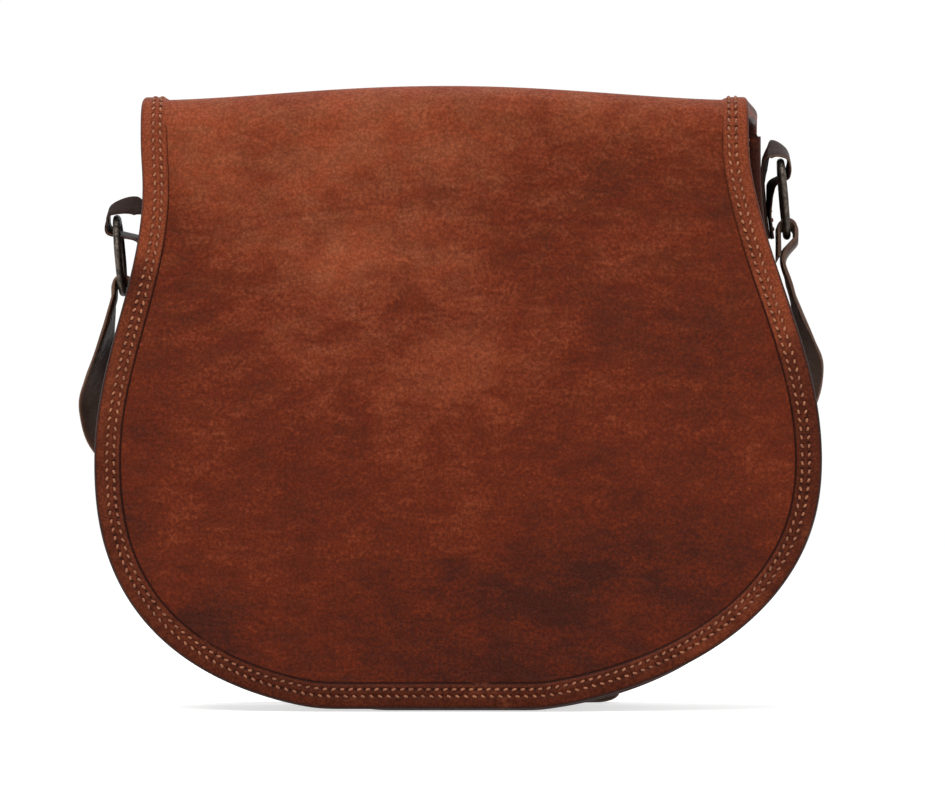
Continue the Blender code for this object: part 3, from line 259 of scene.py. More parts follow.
def rounded(z, wide, wide_level, foot):
    share = min((wide_level - z) / (wide_level - foot), 1)
    return wide * (1 - share ** roundness) ** (1 / roundness)


def body_half(z):
    if z > flap_level:
        return tapered(z, body_widest, flap_level, body_narrow, body_narrow_level)
    return rounded(z, body_widest, flap_level, stand - past_foot)


def flap_edge(z, s):
    low = max(flap_level - z, 0) / flap_level
    high = clamped((z - flap_level) / (flap_narrow_level - flap_level))
    centre = -low_drift * low ** 2 - high_drift * high ** 3
    if z > flap_level:
        return centre + s * tapered(z, flap_widest, flap_level, flap_narrow, flap_narrow_level)
    return centre + s * rounded(z, flap_widest, flap_level, flap_foot - past_foot)


def arch(s):
    return top_arch * (1 - s ** 2) ** 2


def wander(x, z):
    """Slow dents and swells of used leather, in metres."""
    deep = math.sin(31 * x + 17 * z + 0.6) * math.cos(23 * z - 13 * x + 1.1)
    return 0.00045 * (deep + 0.6 * math.sin(57 * x - 41 * z) * math.cos(38 * x + 49 * z + 2.0))


def flap_point(z, s):
    fall = (fold_level - z) / (fold_level - flap_foot)
    crown = flap_swell * (1 - s ** 2) ** 2 * math.sin(math.pi * fall) ** 2
    x = flap_edge(z, s)
    calm = (1 - s ** 4) * min(1, 8 * fall * (1 - fall))
    rise = arch(s) * max(1 - 2 * fall, 0)
    return Vector((x, -flap_depth - crown + wander(x, z) * calm, z + rise)), front, z


def front_fold_point(s, angle):
    normal = Vector((0, -math.sin(angle), math.cos(angle)))
    centre = Vector((flap_edge(flap_top, s), front_fold - flap_depth, fold_level + arch(s)))
    return centre + normal * front_fold, normal, fold_level + front_fold * (quarter - angle)


crown_start, crown_end = back_face - rear_fold, front_fold - flap_depth
crown_length = crown_start - crown_end
crown_top = fold_level + front_fold * quarter + crown_length


def crown_point(s, t):
    rise = t * t * (3 - 2 * t)
    x = body_narrow * s + (flap_edge(flap_top, s) - body_narrow * s) * rise
    z = rear_top + (flap_top + arch(s) - rear_top) * rise
    length = fold_level + front_fold * quarter + crown_length * (1 - t)
    return Vector((x, crown_start + (crown_end - crown_start) * t, z)), upward, length


def rear_fold_point(s, angle):
    normal = Vector((0, math.cos(angle), math.sin(angle)))
    centre = Vector((body_narrow * s, back_face - rear_fold, rear_top - rear_fold))
    return centre + normal * rear_fold, normal, crown_top + rear_fold * (quarter - angle)


def back_point(z, s):
    length = crown_top + rear_fold * quarter + rear_top - rear_fold - z
    x = s * body_half(z)
    sag = wander(x + 0.4, z) * (1 - s ** 4) * 0.6
    return Vector((x, back_face + sag, z)), rear, length


def steps(count, low=0.0, high=1.0):
    return [low + (high - low) * k / count for k in range(count + 1)]


def fall_levels(top, foot, upper, lower):
    levels = [top + (flap_level - top) * k / upper for k in range(upper)]
    return levels + [flap_level - (flap_level - foot) * math.sin(quarter * k / lower)
                     for k in range(lower + 1)]


def new_piece(name, mesh, finish, body=None, *nodes):
    """Puts a finished bmesh into the scene as a piece that rides on a body and stands for nodes."""
    bmesh.ops.recalc_face_normals(mesh, faces=mesh.faces)
    data = bpy.data.meshes.new(name)
    mesh.to_mesh(data)
    mesh.free()
    data.shade_smooth()
    data.set_sharp_from_angle(angle=math.radians(50))
    data.materials.append(finish.material)
    piece = placed(name, data)
    if body:
        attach(piece, body)
    if nodes:
        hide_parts(*nodes)
    return piece


def punched(piece, finish, centre, size):
    """Punches a square-cornered opening through a piece."""
    tool = bmesh.new()
    bmesh.ops.create_cube(tool, size=1.0)
    for vert in tool.verts:
        vert.co = [middle + at * wide for middle, at, wide in zip(centre, vert.co, size)]
    tool = new_piece("punch", tool, finish)
    cutting = piece.modifiers.new("punch", "BOOLEAN")
    cutting.operation, cutting.solver, cutting.object = "DIFFERENCE", "EXACT", tool
    bpy.context.view_layer.update()
    seen = piece.evaluated_get(bpy.context.evaluated_depsgraph_get())
    opened = bpy.data.meshes.new_from_object(seen)
    piece.modifiers.clear()
    piece.data = opened
    bpy.data.objects.remove(tool, do_unlink=True)


def skin(rows, thickness):
    """A sheet from rows of (point, normal, length along), thickened inwards, UV in metres."""
    mesh = bmesh.new()
    uv = mesh.loops.layers.uv.new("UVMap")
    outer = [[mesh.verts.new(p) for p, n, v in row] for row in rows]
    inner = [[mesh.verts.new(p - n * thickness) for p, n, v in row] for row in rows]

    def face(*corners):
        made = mesh.faces.new([side[i][j] for side, i, j in corners])
        for loop, (side, i, j) in zip(made.loops, corners):
            loop[uv].uv = (rows[i][j][0].x, rows[i][j][2])

    last, end = len(rows) - 1, len(rows[0]) - 1
    for i in range(last):
        for j in range(end):
            face((outer, i, j), (outer, i, j + 1), (outer, i + 1, j + 1), (outer, i + 1, j))
            face((inner, i + 1, j), (inner, i + 1, j + 1), (inner, i, j + 1), (inner, i, j))
        for j in (0, end):
            face((outer, i, j), (outer, i + 1, j), (inner, i + 1, j), (inner, i, j))
    for i in (0, last):
        for j in range(end):
            face((outer, i, j + 1), (outer, i, j), (inner, i, j), (inner, i, j + 1))
    return mesh


def grain(finish, at, fine=0.00095):
    """Goat grain: small pebbles with thin valleys, and the low folds between groups of them."""
    pebble = finish.number("ShaderNodeTexVoronoi", {"feature": "SMOOTH_F1"},
                           {"Vector": at, "Scale": 1 / fine, "Smoothness": 0.5, "Randomness": 1.0})
    speck = finish.noise(at, fine * 1.6, 4, 0.6)
    crease = finish.noise(at, 0.0065, 5, 0.62, 0.4)
    return pebble, speck, crease


def with_patches(tone, tone_patches, x, z, bend=None):
    """Adds soft round lighter or darker patches to a tone, each a (middle, reach, strength), bent
    out of round; they stand for stains and for painted light and shade.
    """
    for spot, reach, strength in tone_patches:
        at_x, at_z = (x + bend, z - bend) if bend else (x, z)
        off = ((at_x - spot[0]) / reach[0]) ** 2 + ((at_z - spot[1]) / reach[1]) ** 2
        tone = tone + 2.718 ** -off * strength
    return tone


valley_tint = (0.45, 0.38, 0.34)


def hide_leather(name, laid="UV", tone_patches=(), rough=0.47,
                 lit=((0.118, 0.0155, 0.003), (0.345, 0.076, 0.027))):
    """Satin vegetable-tanned leather: cloudy dye, soft patches of stains and of painted light and
    shade, grain, faint creases, and a patchy painted sheen, stronger towards the top.
    """
    shade, sheen_tint = (0.045, 0.0076, 0.0028), (0.98, 1.3, 1.55)
    finish = Finish(name, specular=0.09)
    at = finish.place(laid)
    x, z, _ = finish.axes(at)
    cloud = finish.noise(at, 0.055, 4, 0.55, 0.6)
    blot = finish.noise(finish.place(laid, (1.0, 1.7, 1.0)), 0.017, 5, 0.6, 0.5)
    pebble, speck, crease = grain(finish, at)
    tone = cloud * 0.54 + blot * 0.4 - 0.16
    bend = finish.noise(at, 0.03, 3, 0.5) * 0.03 - 0.015
    tone = with_patches(tone, tone_patches, x, z, bend)
    wrinkle = finish.noise(finish.place(laid, (0.45, 1.5, 1.0)), 0.006, 4, 0.6, 0.6)
    open_grain = finish.ramp(blot * 0.6 + wrinkle * 0.5, 0.42, 0.68, 0.3, 0.85)
    tone = tone + (speck - 0.5) * open_grain + (crease - 0.5) * 0.16 + (wrinkle - 0.5) * 0.3
    middle = tuple(a * 0.58 + b * 0.42 for a, b in zip(*lit))
    dyes = {"stops": [(0.02, shade), (0.3, lit[0]), (0.55, middle), (0.95, lit[1])]}
    colour = finish.node("ShaderNodeValToRGB", dyes, {0: tone}).outputs[0]
    valley = finish.ramp(pebble, 0.32, 0.62)
    colour = finish.glazed(valley * 0.42, colour, valley_tint)
    # Painted sheen: a patchy bluish-grey glaze, stronger towards the top.
    mist = finish.noise(finish.place(laid, (1.0, 1.5, 1.0)), 0.014, 4, 0.6, 0.5)
    painted_sheen = finish.ramp(mist, 0.38, 0.66) * finish.ramp(z, 0.09, 0.2, 0.25, 0.8)
    colour = finish.glazed(painted_sheen, colour, sheen_tint)
    fleck = finish.ramp(finish.noise(at, 0.003, 4, 0.7), 0.62, 0.78)
    finish.feed("Base Color", finish.mix(fleck * 0.3, colour, shade))
    finish.feed("Roughness",
                rough + (speck - 0.5) * 0.16 + valley * 0.12 - (cloud - 0.5) * 0.1)
    fine = finish.relief(0.5 - pebble * 0.55 + speck * 0.25, 0.00022)
    finish.feed("Normal", finish.relief(crease * 0.6 + wrinkle * 0.5, 0.0012, fine))
    return finish


# Soft patches on the flap: stains and mottle in the dye, with painted light among them: a painted
# highlight along the top, and painted shade along the foot and near the side edges.
flap_stains_and_shading = [((0.0, 0.245), (0.2, 0.045), 0.27), ((0.066, 0.207), (0.04, 0.022), -0.15),
               ((-0.04, 0.172), (0.036, 0.014), 0.26), ((-0.105, 0.225), (0.035, 0.02), 0.14),
               ((-0.045, 0.205), (0.05, 0.018), 0.12), ((0.116, 0.112), (0.014, 0.05), 0.03),
               ((0.0, 0.132), (0.036, 0.014), 0.2), ((-0.06, 0.14), (0.022, 0.014), 0.05),
               ((-0.11, 0.172), (0.022, 0.024), -0.12), ((0.095, 0.15), (0.036, 0.034), -0.17),
               ((0.028, 0.048), (0.03, 0.013), -0.16), ((0.0, -0.01), (0.17, 0.06), -0.22),
               ((-0.13, 0.085), (0.014, 0.04), -0.16), ((0.06, 0.052), (0.03, 0.022), -0.08),
               ((-0.104, 0.032), (0.024, 0.012), -0.22), ((0.105, 0.075), (0.03, 0.032), -0.12),
               ((-0.1, 0.058), (0.02, 0.022), -0.06)]
flap_leather = hide_leather("flap_leather", tone_patches=flap_stains_and_shading)
columns = steps(110, -1, 1)
rows = [[crown_point(s, t) for s in columns] for t in steps(10, 0.5, 1)][:-1]
rows += [[front_fold_point(s, a) for s in columns] for a in steps(12, 0, quarter)][:-1]
rows += [[flap_point(z, s) for s in columns] for z in fall_levels(fold_level, sheet_foot, 58, 48)]
flap_edge_rows = rows
flap = new_piece("flap_hide", skin(rows, hide), flap_leather, None, "flap_front", "flap_top")
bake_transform(flap)

# The back takes the flap's painted highlight along the top, so the tones meet on the crown, and
# soft lighter and darker patches down its length, darkest near its foot.
back_patches = [((0.0, 0.5), (0.13, 0.04), -0.22), ((-0.05, 0.4), (0.05, 0.03), 0.1),
               ((0.06, 0.36), (0.04, 0.03), -0.12), ((0.0, 0.31), (0.12, 0.02), 0.08)]
back_leather = hide_leather("back_leather", tone_patches=flap_stains_and_shading[:1] + back_patches)
rows = [[back_point(z, s) for s in columns]
        for z in reversed(fall_levels(rear_top - rear_fold, sheet_foot, 44, 36))]
rows += [[rear_fold_point(s, a) for s in columns] for a in steps(10, 0, quarter)][1:]
rows += [[crown_point(s, t) for s in columns] for t in steps(10, 0, 0.5)][1:]
back_edge_rows = rows
back = new_piece("back_hide", skin(rows, hide), back_leather, None, "back_panel", "flap_top")
zip_level, zip_reach, zip_half = 0.17, 0.08, 0.0055
punched(back, back_leather, (0, back_face, zip_level), (2 * zip_reach, 0.012, 2 * zip_half))
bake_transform(back)


# ---- Folded edges of the hide
# A narrow strip of the same goat leather is folded over the raw edge and sewn down with two
# rows of waxed tan thread. It lies flat on both sides and is darkest at its fold, partly burnish
# and partly painted shade, with painted shade along its inner edge and in its stitch rows.
strip_reach, seam_reach = 0.009, 0.00325
facing_thick, wall, gusset_thick = 0.0008, 0.002, 0.0016
flap_core = hide + facing_thick + gap
seam_core = wall + gap + gusset_thick
stitch_pitch, stitch_length, thread = 0.0033, 0.0018, 0.00047
outer_row, inner_row = stand - 0.005, stand - 0.0077


def folded_section(core, over, under):
    """A strip's outline round an edge, as (outwards, off the face) from the leather's edge. It
    reaches that far over the face and under the core, which is what it is folded round."""
    top, bottom = stand, -core - stand
    middle, half = (top + bottom) / 2, (top - bottom) / 2
    bend = half * 0.62
    points = [(-over + back, top * rise)
              for back, rise in ((0, 0), (0.0002, 0.3), (0.001, 0.6), (0.0022, 0.9))]
    points += [(-over + (over - 0.0012) * k / 8, top) for k in range(3, 8)]
    points += [(top - bend + bend * math.sin(a), middle + half * math.cos(a))
               for a in steps(9, 0, math.pi)]
    points += [(-under * share, bottom) for share in (0.35, 0.7)]
    return points + [(-under, bottom + strip * 0.4), (-under, -core - gap)]


def edge_frames(edge):
    """Point, outward direction and face normal along an edge of (point, face normal, ...)."""
    last = len(edge) - 1
    frames = []
    for i, (point, face, *_) in enumerate(edge):
        along = (edge[min(i + 1, last)][0] - edge[max(i - 1, 0)][0]).normalized()
        frames.append((point, along.cross(face).normalized(), face))
    return frames


def lengths(points):
    """How far along a line each of its points lies."""
    run = [0.0]
    for a, b in zip(points, points[1:]):
        run.append(run[-1] + ((b - a).length if isinstance(a, Vector) else math.dist(a, b)))
    return run


def eased(edge, pitch=0.0018, rounds=3):
    """Frames about pitch apart along an edge, which is eased a little at its corners."""
    points, normals = [e[0] for e in edge], [e[1] for e in edge]
    run = lengths(points)
    at = np.linspace(0, run[-1], max(int(run[-1] / pitch), 2) + 1)
    lines = [np.array([np.interp(at, run, [v[k] for v in line]) for k in range(3)]).T
             for line in (points, normals)]
    for line in lines * rounds:
        line[1:-1] = (line[:-2] + 2 * line[1:-1] + line[2:]) / 4
    return edge_frames([(Vector(p), Vector(n).normalized()) for p, n in zip(*lines)])


def tube(mesh, rings, place=None, closed=False):
    """Joins rings of corners, closed on themselves or capped; place gives each corner's UV."""
    uv = mesh.loops.layers.uv.new("UVMap") if place else None
    rings = [[mesh.verts.new(p) for p in ring] for ring in rings]
    count = len(rings[0])
    for i in range(len(rings) - (not closed)):
        low, high = rings[i], rings[(i + 1) % len(rings)]
        for k in range(count):
            after = (k + 1) % count
            made = mesh.faces.new((low[k], low[after], high[after], high[k]))
            if place:
                corners = ((i, k), (i, k + 1), (i + 1, k + 1), (i + 1, k))
                for loop, corner in zip(made.loops, corners):
                    loop[uv].uv = place(*corner)
    if not closed:
        mesh.faces.new(list(reversed(rings[0])))
        mesh.faces.new(rings[-1])
    return mesh


def swept(frames, sections):
    """Skins one section per frame into a strip, with (length along, length across) as its UV."""
    rings = [[p + out * u + face * v for u, v in section]
             for (p, out, face), section in zip(frames, sections)]
    along, around = lengths([p for p, out, face in frames]), lengths(sections[0])
    return tube(bmesh.new(), rings, lambda i, k: (along[i], around[min(k, len(around) - 1)]))


def stitches(frames, row, height, mesh, lean=0.42):
    """A row of sewn stitches: short raised threads that dip into the leather at both ends."""
    points = [p + out * row + face * height for p, out, face in frames]
    run = lengths(points)
    count = int(run[-1] / stitch_pitch)
    for n in range(count):
        middle = (n + 0.5) * run[-1] / count
        i = min(int(np.searchsorted(run, middle)), len(run) - 1)
        share = (middle - run[i - 1]) / (run[i] - run[i - 1])
        at = points[i - 1].lerp(points[i], share)
        _, out, face = frames[i]
        along = (points[i] - points[i - 1]).normalized()
        swing = lean + 0.16 * math.sin(n * 2.4)
        across = (out * math.cos(swing) - along * math.sin(swing)).normalized()
        along = (along * math.cos(swing) + out * math.sin(swing)).normalized()
        rings = []
        for t in (-1.0, -0.82, -0.4, 0.0, 0.4, 0.82, 1.0):
            lift = thread * (0.85 * (1 - t * t) ** 0.5 - 0.45 + 0.1 * math.sin(n * 1.7))
            thick = thread * (1 - 0.55 * abs(t) ** 4)
            centre = at + along * (t * stitch_length / 2) + face * lift
            rings.append([centre + across * thick * math.cos(a) + face * thick * 0.75 * math.sin(a)
                          for a in steps(6, 0, math.tau)[:6]])
        tube(mesh, rings)
    return mesh


def two_rows(frames, *more):
    """The two stitch rows of a folded edge, and further rows of (frames, row, height)."""
    mesh = stitches(frames, outer_row, stand, bmesh.new())
    stitches(frames, inner_row, stand, mesh, -0.3)
    for line in more:
        stitches(*line, mesh)
    return mesh


def strip_leather(name, lit, shade, shaded_rims, rows, tone_patches, under=1.0):
    """The folded strip: darkened at its fold and inner edge by burnish and painted shade, pressed
    in along its stitch rows with painted shade in them, painted shade on its underside past under,
    and soft patches of painted light and shade in its tone.
    """
    worn = (0.2, 0.05, 0.021)
    finish = Finish(name, specular=0.05)
    along, across, _ = finish.axes(finish.place("UV"))
    where = finish.place()
    cloud = finish.noise(where, 0.03, 4, 0.55, 0.5)
    blot = finish.noise(where, 0.009, 5, 0.65, 0.6)
    pebble, speck, crease = grain(finish, where, 0.00085)
    tone = cloud * 0.7 + blot * 0.5
    x, _, z = finish.axes(where)
    tone = finish.ramp(with_patches(tone, tone_patches, x, z), 0.34, 0.9, 0.14, 0.84)
    tone = tone + (speck - 0.5) * 0.55 + (crease - 0.5) * 0.25
    colour = finish.mix(tone, lit[0], lit[1])
    colour = finish.glazed(finish.ramp(pebble, 0.3, 0.6) * 0.6, colour, valley_tint)
    # Painted shade on the section past under: the underside that faces the flap.
    colour = finish.mix(finish.ramp(across, under, under + 0.002) * 0.85, colour, shade)
    # Painted shade along the fold and the inner edge, partly burnish, weaker towards the top.
    rim = 0.0
    for middle, reach, strength in shaded_rims:
        rim = rim + 2.718 ** -(((across - middle) / reach) ** 2) * strength
    rim = rim * (0.5 + cloud) * finish.ramp(z, 0.13, 0.22, 1.0, 0.55)
    colour = finish.mix(finish.ramp(rim, 0.15, 1.05) * 0.92, colour, shade)
    rubbed = finish.ramp(finish.noise(where, 0.016, 5, 0.7), 0.56, 0.74)
    colour = finish.mix(rubbed * finish.ramp(speck, 0.35, 0.6) * 0.5, colour, worn)
    # Painted shade in the pressed stitch channels, darkest at the stitch holes.
    beat = (along / stitch_pitch) % 1.0
    hole = finish.ramp(1.0 - (beat - 0.5) ** 2 * 4.0, 0.1, 0.62, 1.0, 0.0)
    sewn = 0.0
    for row in rows:
        sewn = sewn + 2.718 ** -(((across - row) / 0.00072) ** 2)
    sewn = finish.maths("MINIMUM", sewn, 1.0)
    colour = finish.mix(sewn * (hole * 0.62 + 0.3), colour, tuple(c * 0.35 for c in shade))
    finish.feed("Base Color", colour)
    finish.feed("Roughness", 0.46 + (speck - 0.5) * 0.2 + (blot - 0.5) * 0.12)
    pucker = finish.noise(finish.place("UV", (1.0, 0.28, 1.0)), 0.0028, 3, 0.55)
    fine = finish.relief(0.5 - pebble * 0.5 + speck * 0.3, 0.00018)
    folds = finish.relief(pucker * 0.8 + crease * 0.5, 0.00055, fine)
    finish.feed("Normal", finish.relief(1.0 - sewn * (0.6 + hole * 0.4), 0.00045, folds))
    return finish


def arc_at(section, u, v):
    """How far round a section's outline a place on it lies."""
    total, best = 0.0, (9.0, 0.0)
    for a, b in zip(section, section[1:]):
        step = math.dist(a, b)
        for k in range(11):
            t = k / 10
            off = math.hypot(a[0] + (b[0] - a[0]) * t - u, a[1] + (b[1] - a[1]) * t - v)
            best = min(best, (off, total + step * t))
        total += step
    return best[1]


flap_section = folded_section(flap_core, strip_reach, strip_reach)
turn_at = arc_at(flap_section, stand, -flap_core / 2)
row_arcs = [arc_at(flap_section, row, stand) for row in (outer_row, inner_row)]
under_arcs = [arc_at(flap_section, row, -flap_core - stand) for row in (outer_row, inner_row)]
strip_colours_and_shade = (((0.052, 0.01, 0.0042), (0.27, 0.06, 0.024)), (0.014, 0.004, 0.0028))
strip_shaded_rims = ((turn_at - 0.0008, 0.002, 1.5), (0.0004, 0.0009, 1.3))
# Painted light on the folded strips: painted highlights near the upper corners, painted shade down
# the sides and along the foot.
strip_painted_light = (((-0.125, 0.218), (0.03, 0.045), 0.5), ((0.12, 0.175), (0.012, 0.035), 0.3),
                ((0.112, 0.225), (0.02, 0.03), 0.25), ((0.14, 0.075), (0.02, 0.06), -0.42),
                ((0.0, 0.0), (0.14, 0.03), -0.36), ((-0.138, 0.08), (0.02, 0.04), -0.26),
                ((-0.126, 0.166), (0.01, 0.012), -0.3))
strip_look = (*strip_colours_and_shade, strip_shaded_rims, row_arcs + under_arcs, strip_painted_light)
flap_strip_leather = strip_leather("flap_strip_leather", *strip_look)

# The thread is two plies that turn round each other, and is soiled in places.
waxed_thread = Finish("waxed_thread", 0.6)
where = waxed_thread.place()
ply, soil = [waxed_thread.noise(where, size, 3, 0.6) for size in (0.0006, 0.022)]
clean = waxed_thread.ramp(ply * 0.6 + soil * 0.6, 0.4, 0.85)
colour = waxed_thread.mix(clean, (0.135, 0.038, 0.015), (0.44, 0.155, 0.062))
waxed_thread.feed("Base Color", colour)
waxed_thread.feed("Normal", waxed_thread.relief(ply, 0.0003))


def rim_of(rows):
    """A sheet's edge, down its first side, along its last row and up the other side."""
    return [row[0] for row in rows] + rows[-1][1:-1] + [row[-1] for row in reversed(rows)]


frames = eased(rim_of(flap_edge_rows), 0.0016, 16)
flap_strip = new_piece("flap_strip", swept(frames, [flap_section] * len(frames)),
                       flap_strip_leather, None,
                       "flap_front_binding", "flap_top_binding_left", "flap_top_binding_right")
turned_over = [(p, out, -face) for p, out, face in frames]
under_rows = [(turned_over, row, flap_core + stand) for row in (outer_row, inner_row)]
flap_sewing = new_piece("flap_sewing", two_rows(frames, *under_rows), waxed_thread)
for piece in (flap_strip, flap_sewing):
    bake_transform(piece)

frames = eased(rim_of([row[::-1] for row in reversed(back_edge_rows)]))
sections = []
for point, out, face in frames:
    on_crown = clamped((point.z - 0.222) / 0.01)
    sections.append(folded_section(seam_core + (flap_core - seam_core) * on_crown, strip_reach,
                                   seam_reach + (strip_reach - seam_reach) * on_crown))
# The back strip gets painted shade on its underside, which faces the flap.
underside_shaded_strip_leather = strip_leather("underside_shaded_strip_leather", *strip_look, turn_at + 0.0008)
back_strip = new_piece("back_strip", swept(frames, sections), underside_shaded_strip_leather, None,
                       "back_edge_binding", "flap_top_binding_left", "flap_top_binding_right")
back_sewing = new_piece("back_sewing", two_rows(frames), waxed_thread)
for piece in (back_strip, back_sewing):
    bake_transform(piece)


# ---- Front wall and its folded edge
# The front wall is the same goat leather, sewn to the gusset inside a folded strip. The flap
# hides it until it is lifted. Its open top edge has a strip of its own.
front_face, body_top, gusset_top = 0.029, 0.222, 0.223


def outline_run(top, upper=34, lower=40):
    """The body's outline as (x, z): down its left side, along the foot and up its right side."""
    left = [(-body_half(z), z) for z in fall_levels(top, stand, upper, lower)]
    foot = [(left[-1][0] * share, left[-1][1]) for share in steps(12, 1, -1)[1:-1]]
    return left + foot + [(-x, z) for x, z in reversed(left)]


def facing_front(run, y=0.0):
    """An edge of (point, face normal) from an outline of (x, z)."""
    return [(Vector((x, y, z)), front) for x, z in run]


def wall_point(z, s):
    x = s * body_half(z)
    ease = (1 - s ** 6) * min(1, (z - stand) / 0.02)
    return Vector((x, -front_face + wander(x - 0.3, z) * 0.5 * ease, z)), front, z


def bound(name, edge, section, node):
    """Folds a strip over an edge of the body, and returns the frames that it follows."""
    frames = eased(edge)
    new_piece(name, swept(frames, [section] * len(frames)), back_strip_leather, "body", node)
    return frames


front_leather = hide_leather("front_leather", tone_patches=[((0.03, 0.05), (0.06, 0.03), -0.1)])
rows = [[wall_point(z, s) for s in steps(70, -1, 1)] for z in fall_levels(body_top, stand, 30, 30)]
new_piece("front_wall", skin(rows, wall), front_leather, "body", "front_panel")

# Painted shadow on the body's strips at the top of both sides, where the flap and the gusset shade
# them.
side_painted_shadows = [((side * 0.121, 0.205), (0.016, 0.04), -0.6) for side in (1, -1)]
back_strip_leather = strip_leather(
    "back_strip_leather", ((0.03, 0.007, 0.0042), (0.135, 0.032, 0.014)),
    (0.02, 0.0058, 0.0038), ((turn_at, 0.0016, 1.0), (0.0004, 0.0008, 0.8)), row_arcs,
    side_painted_shadows)
front_frames = bound("front_strip", facing_front(outline_run(body_top), -front_face),
                     folded_section(seam_core, strip_reach, seam_reach), "front_edge_binding")
mouth_half = body_narrow - strip_reach - gap * 2
mouth = [(x, body_top) for x in (mouth_half, -mouth_half)]
mouth_frames = bound("mouth_strip", facing_front(mouth, -front_face),
                     folded_section(wall, strip_reach, strip_reach), "mouth_binding")
sewing = two_rows(front_frames, (mouth_frames, outer_row, stand))
new_piece("front_sewing", sewing, waxed_thread, "body")


# ---- Gusset
# One long strip makes both sides and the bottom. Its flanges are caught in the two edge seams,
# and between them it bows out to a flat band, creased where the bag gives as it is filled.
flange, band = 0.007, 0.024
front_inner = -front_face + wall + gap
back_inner = back_face - wall - gap
mid = (front_inner + back_inner) / 2
low, flank = gusset_thick - flange, mid - band / 2 - front_inner - gusset_thick
half_profile = []
for t in steps(10):
    bow = t ** 0.9 * (1 - t) + (3 * t * t - 2 * t ** 3) * t
    half_profile.append((low + (stand - low) * min(bow, 1.0),
                         front_inner + gusset_thick + flank * t))
half_profile += [(stand, mid - band / 2 + band * k / 8) for k in range(1, 5)]
profile = half_profile + [(u, 2 * mid - y) for u, y in reversed(half_profile[:-1])]
near, far = profile[0][1], profile[-1][1]
near_lip, far_lip = near - gusset_thick, far + gusset_thick


def gusset_ring(point, out, along):
    """The gusset's section at a place: over its outer side, then back along its inner side."""
    side = clamped((point.z - 0.02) / 0.05)
    slow = math.sin(along * 61) * math.sin(along * 23 + 1) - 0.75
    outer = []
    for u, y in profile:
        across = (y - mid) / 0.027
        dent = 0.0011 * side * max(0, 1 - across ** 2) * slow
        dent += 0.0004 * side * math.sin(along * 210 + across * 2.2) * max(0, 1 - abs(across))
        outer.append(point + out * (u + min(dent, 0)) + rear * y)
    inner = [p - out * gusset_thick for p in outer[1:-1]]
    edges = [point + rear * y for y in (near_lip, near, far, far_lip)]
    low_far, low_near = [point - out * flange + rear * y for y in (far_lip, near_lip)]
    return edges[:2] + outer + edges[2:] + [low_far] + inner[::-1] + [low_near]


# The gusset's colours are painted shade, darkened for the shade it sits in between the flap and the
# back. It also has two darker patches along its length.
shaded_gusset_leather = hide_leather(
    "shaded_gusset_leather", lit=((0.036, 0.0085, 0.0045), (0.11, 0.027, 0.013)),
    tone_patches=[((0.0, 0.06), (0.05, 0.05), -0.15), ((0.0, 0.4), (0.05, 0.08), -0.2)])
frames = eased(facing_front(outline_run(gusset_top)), 0.0025)
along = lengths([point for point, out, face in frames])
rings = [gusset_ring(point, out, at) for (point, out, face), at in zip(frames, along)]
mesh = tube(bmesh.new(), rings, lambda i, k: (rings[i][k % len(rings[i])].y, along[i]))
new_piece("side_gusset", mesh, shaded_gusset_leather, "body", "gusset")


# ---- Lining of the main compartment
# A bag of plain-woven cotton hangs inside, open at the top, and is sewn in just under the rim.
# It keeps clear of the gusset's flanges and of the pouch behind the zip.
def woven(name, thread, shade, pitch=0.00055):
    """Plain weave: two sets of threads that go over and under each other."""
    finish = Finish(name, 0.9, specular=0.15)
    x, y, z = finish.axes(finish.place())
    warp, weft = [finish.maths("SINE", way * (math.tau / pitch)) for way in (x + y, z)]
    over = finish.maths("MAXIMUM", warp, weft)
    slub = finish.noise(finish.place(), 0.02, 4, 0.6)
    share = finish.ramp(over * 0.45 + slub * 0.9, 0.1, 1.1)
    finish.feed("Base Color", finish.mix(share, shade, thread))
    finish.feed("Normal", finish.relief(over * 0.5 + 0.5, 0.00012))
    return finish


def drawn_in(run, distance):
    """An outline of (x, z) moved inwards, and no higher than its own rim."""
    return [(p.x - out.x * distance, min(p.z - out.z * distance, run[0][1]))
            for p, out, face in edge_frames(facing_front(run))]


cotton = woven("lining_cotton", (0.24, 0.18, 0.12), (0.1, 0.07, 0.045))
lining_thick, lining_inset, lining_ease = 0.0008, flange + gap * 2, 0.0002
pouch_set_in, pouch_thick = 0.0007, 0.0022
lining_back = back_inner - pouch_set_in - pouch_thick - gap * 2
lining_top = body_top - 0.011
run = drawn_in(outline_run(lining_top, 26, 30), lining_inset + lining_ease)
depths = [front_inner + lining_ease + (lining_back - front_inner - lining_ease * 2) * t
          for t in (0, 0.03, 0.1, 0.3, 0.5, 0.7, 0.9, 0.97, 1)]
last = len(depths) - 1
mesh = bmesh.new()
shell = []
for layer in (0.0, lining_thick):
    grid = []
    for k, y in enumerate(depths):
        tuck = 0.003 if 0 < k < last else 0.0
        y = y + (layer if k == 0 else -layer if k == last else 0)
        row = []
        for i, (x, z) in enumerate(drawn_in(run, layer) if layer else run):
            crinkle = tuck * 0.22 * (math.sin(i * 1.3 + k) - 1) * min(1, abs(k - 4) * 0.2 + 0.4)
            off = Vector((-x, 0, 0.1 - z)).normalized() * -crinkle
            row.append(mesh.verts.new(Vector((x, y, z)) + off * (z < lining_top - 0.004)))
        grid.append(row)
    shell.append(grid)
    for low, high in zip(grid, grid[1:]):
        for i in range(len(low) - 1):
            mesh.faces.new((low[i], low[i + 1], high[i + 1], high[i]))
    for row in (grid[0], grid[-1]):
        for i in range(len(row) // 2):
            j = len(row) - 1 - i
            between = (row[i + 1], row[j - 1]) if j - i > 2 else (row[i + 1],)
            mesh.faces.new((row[i], *between, row[j]))
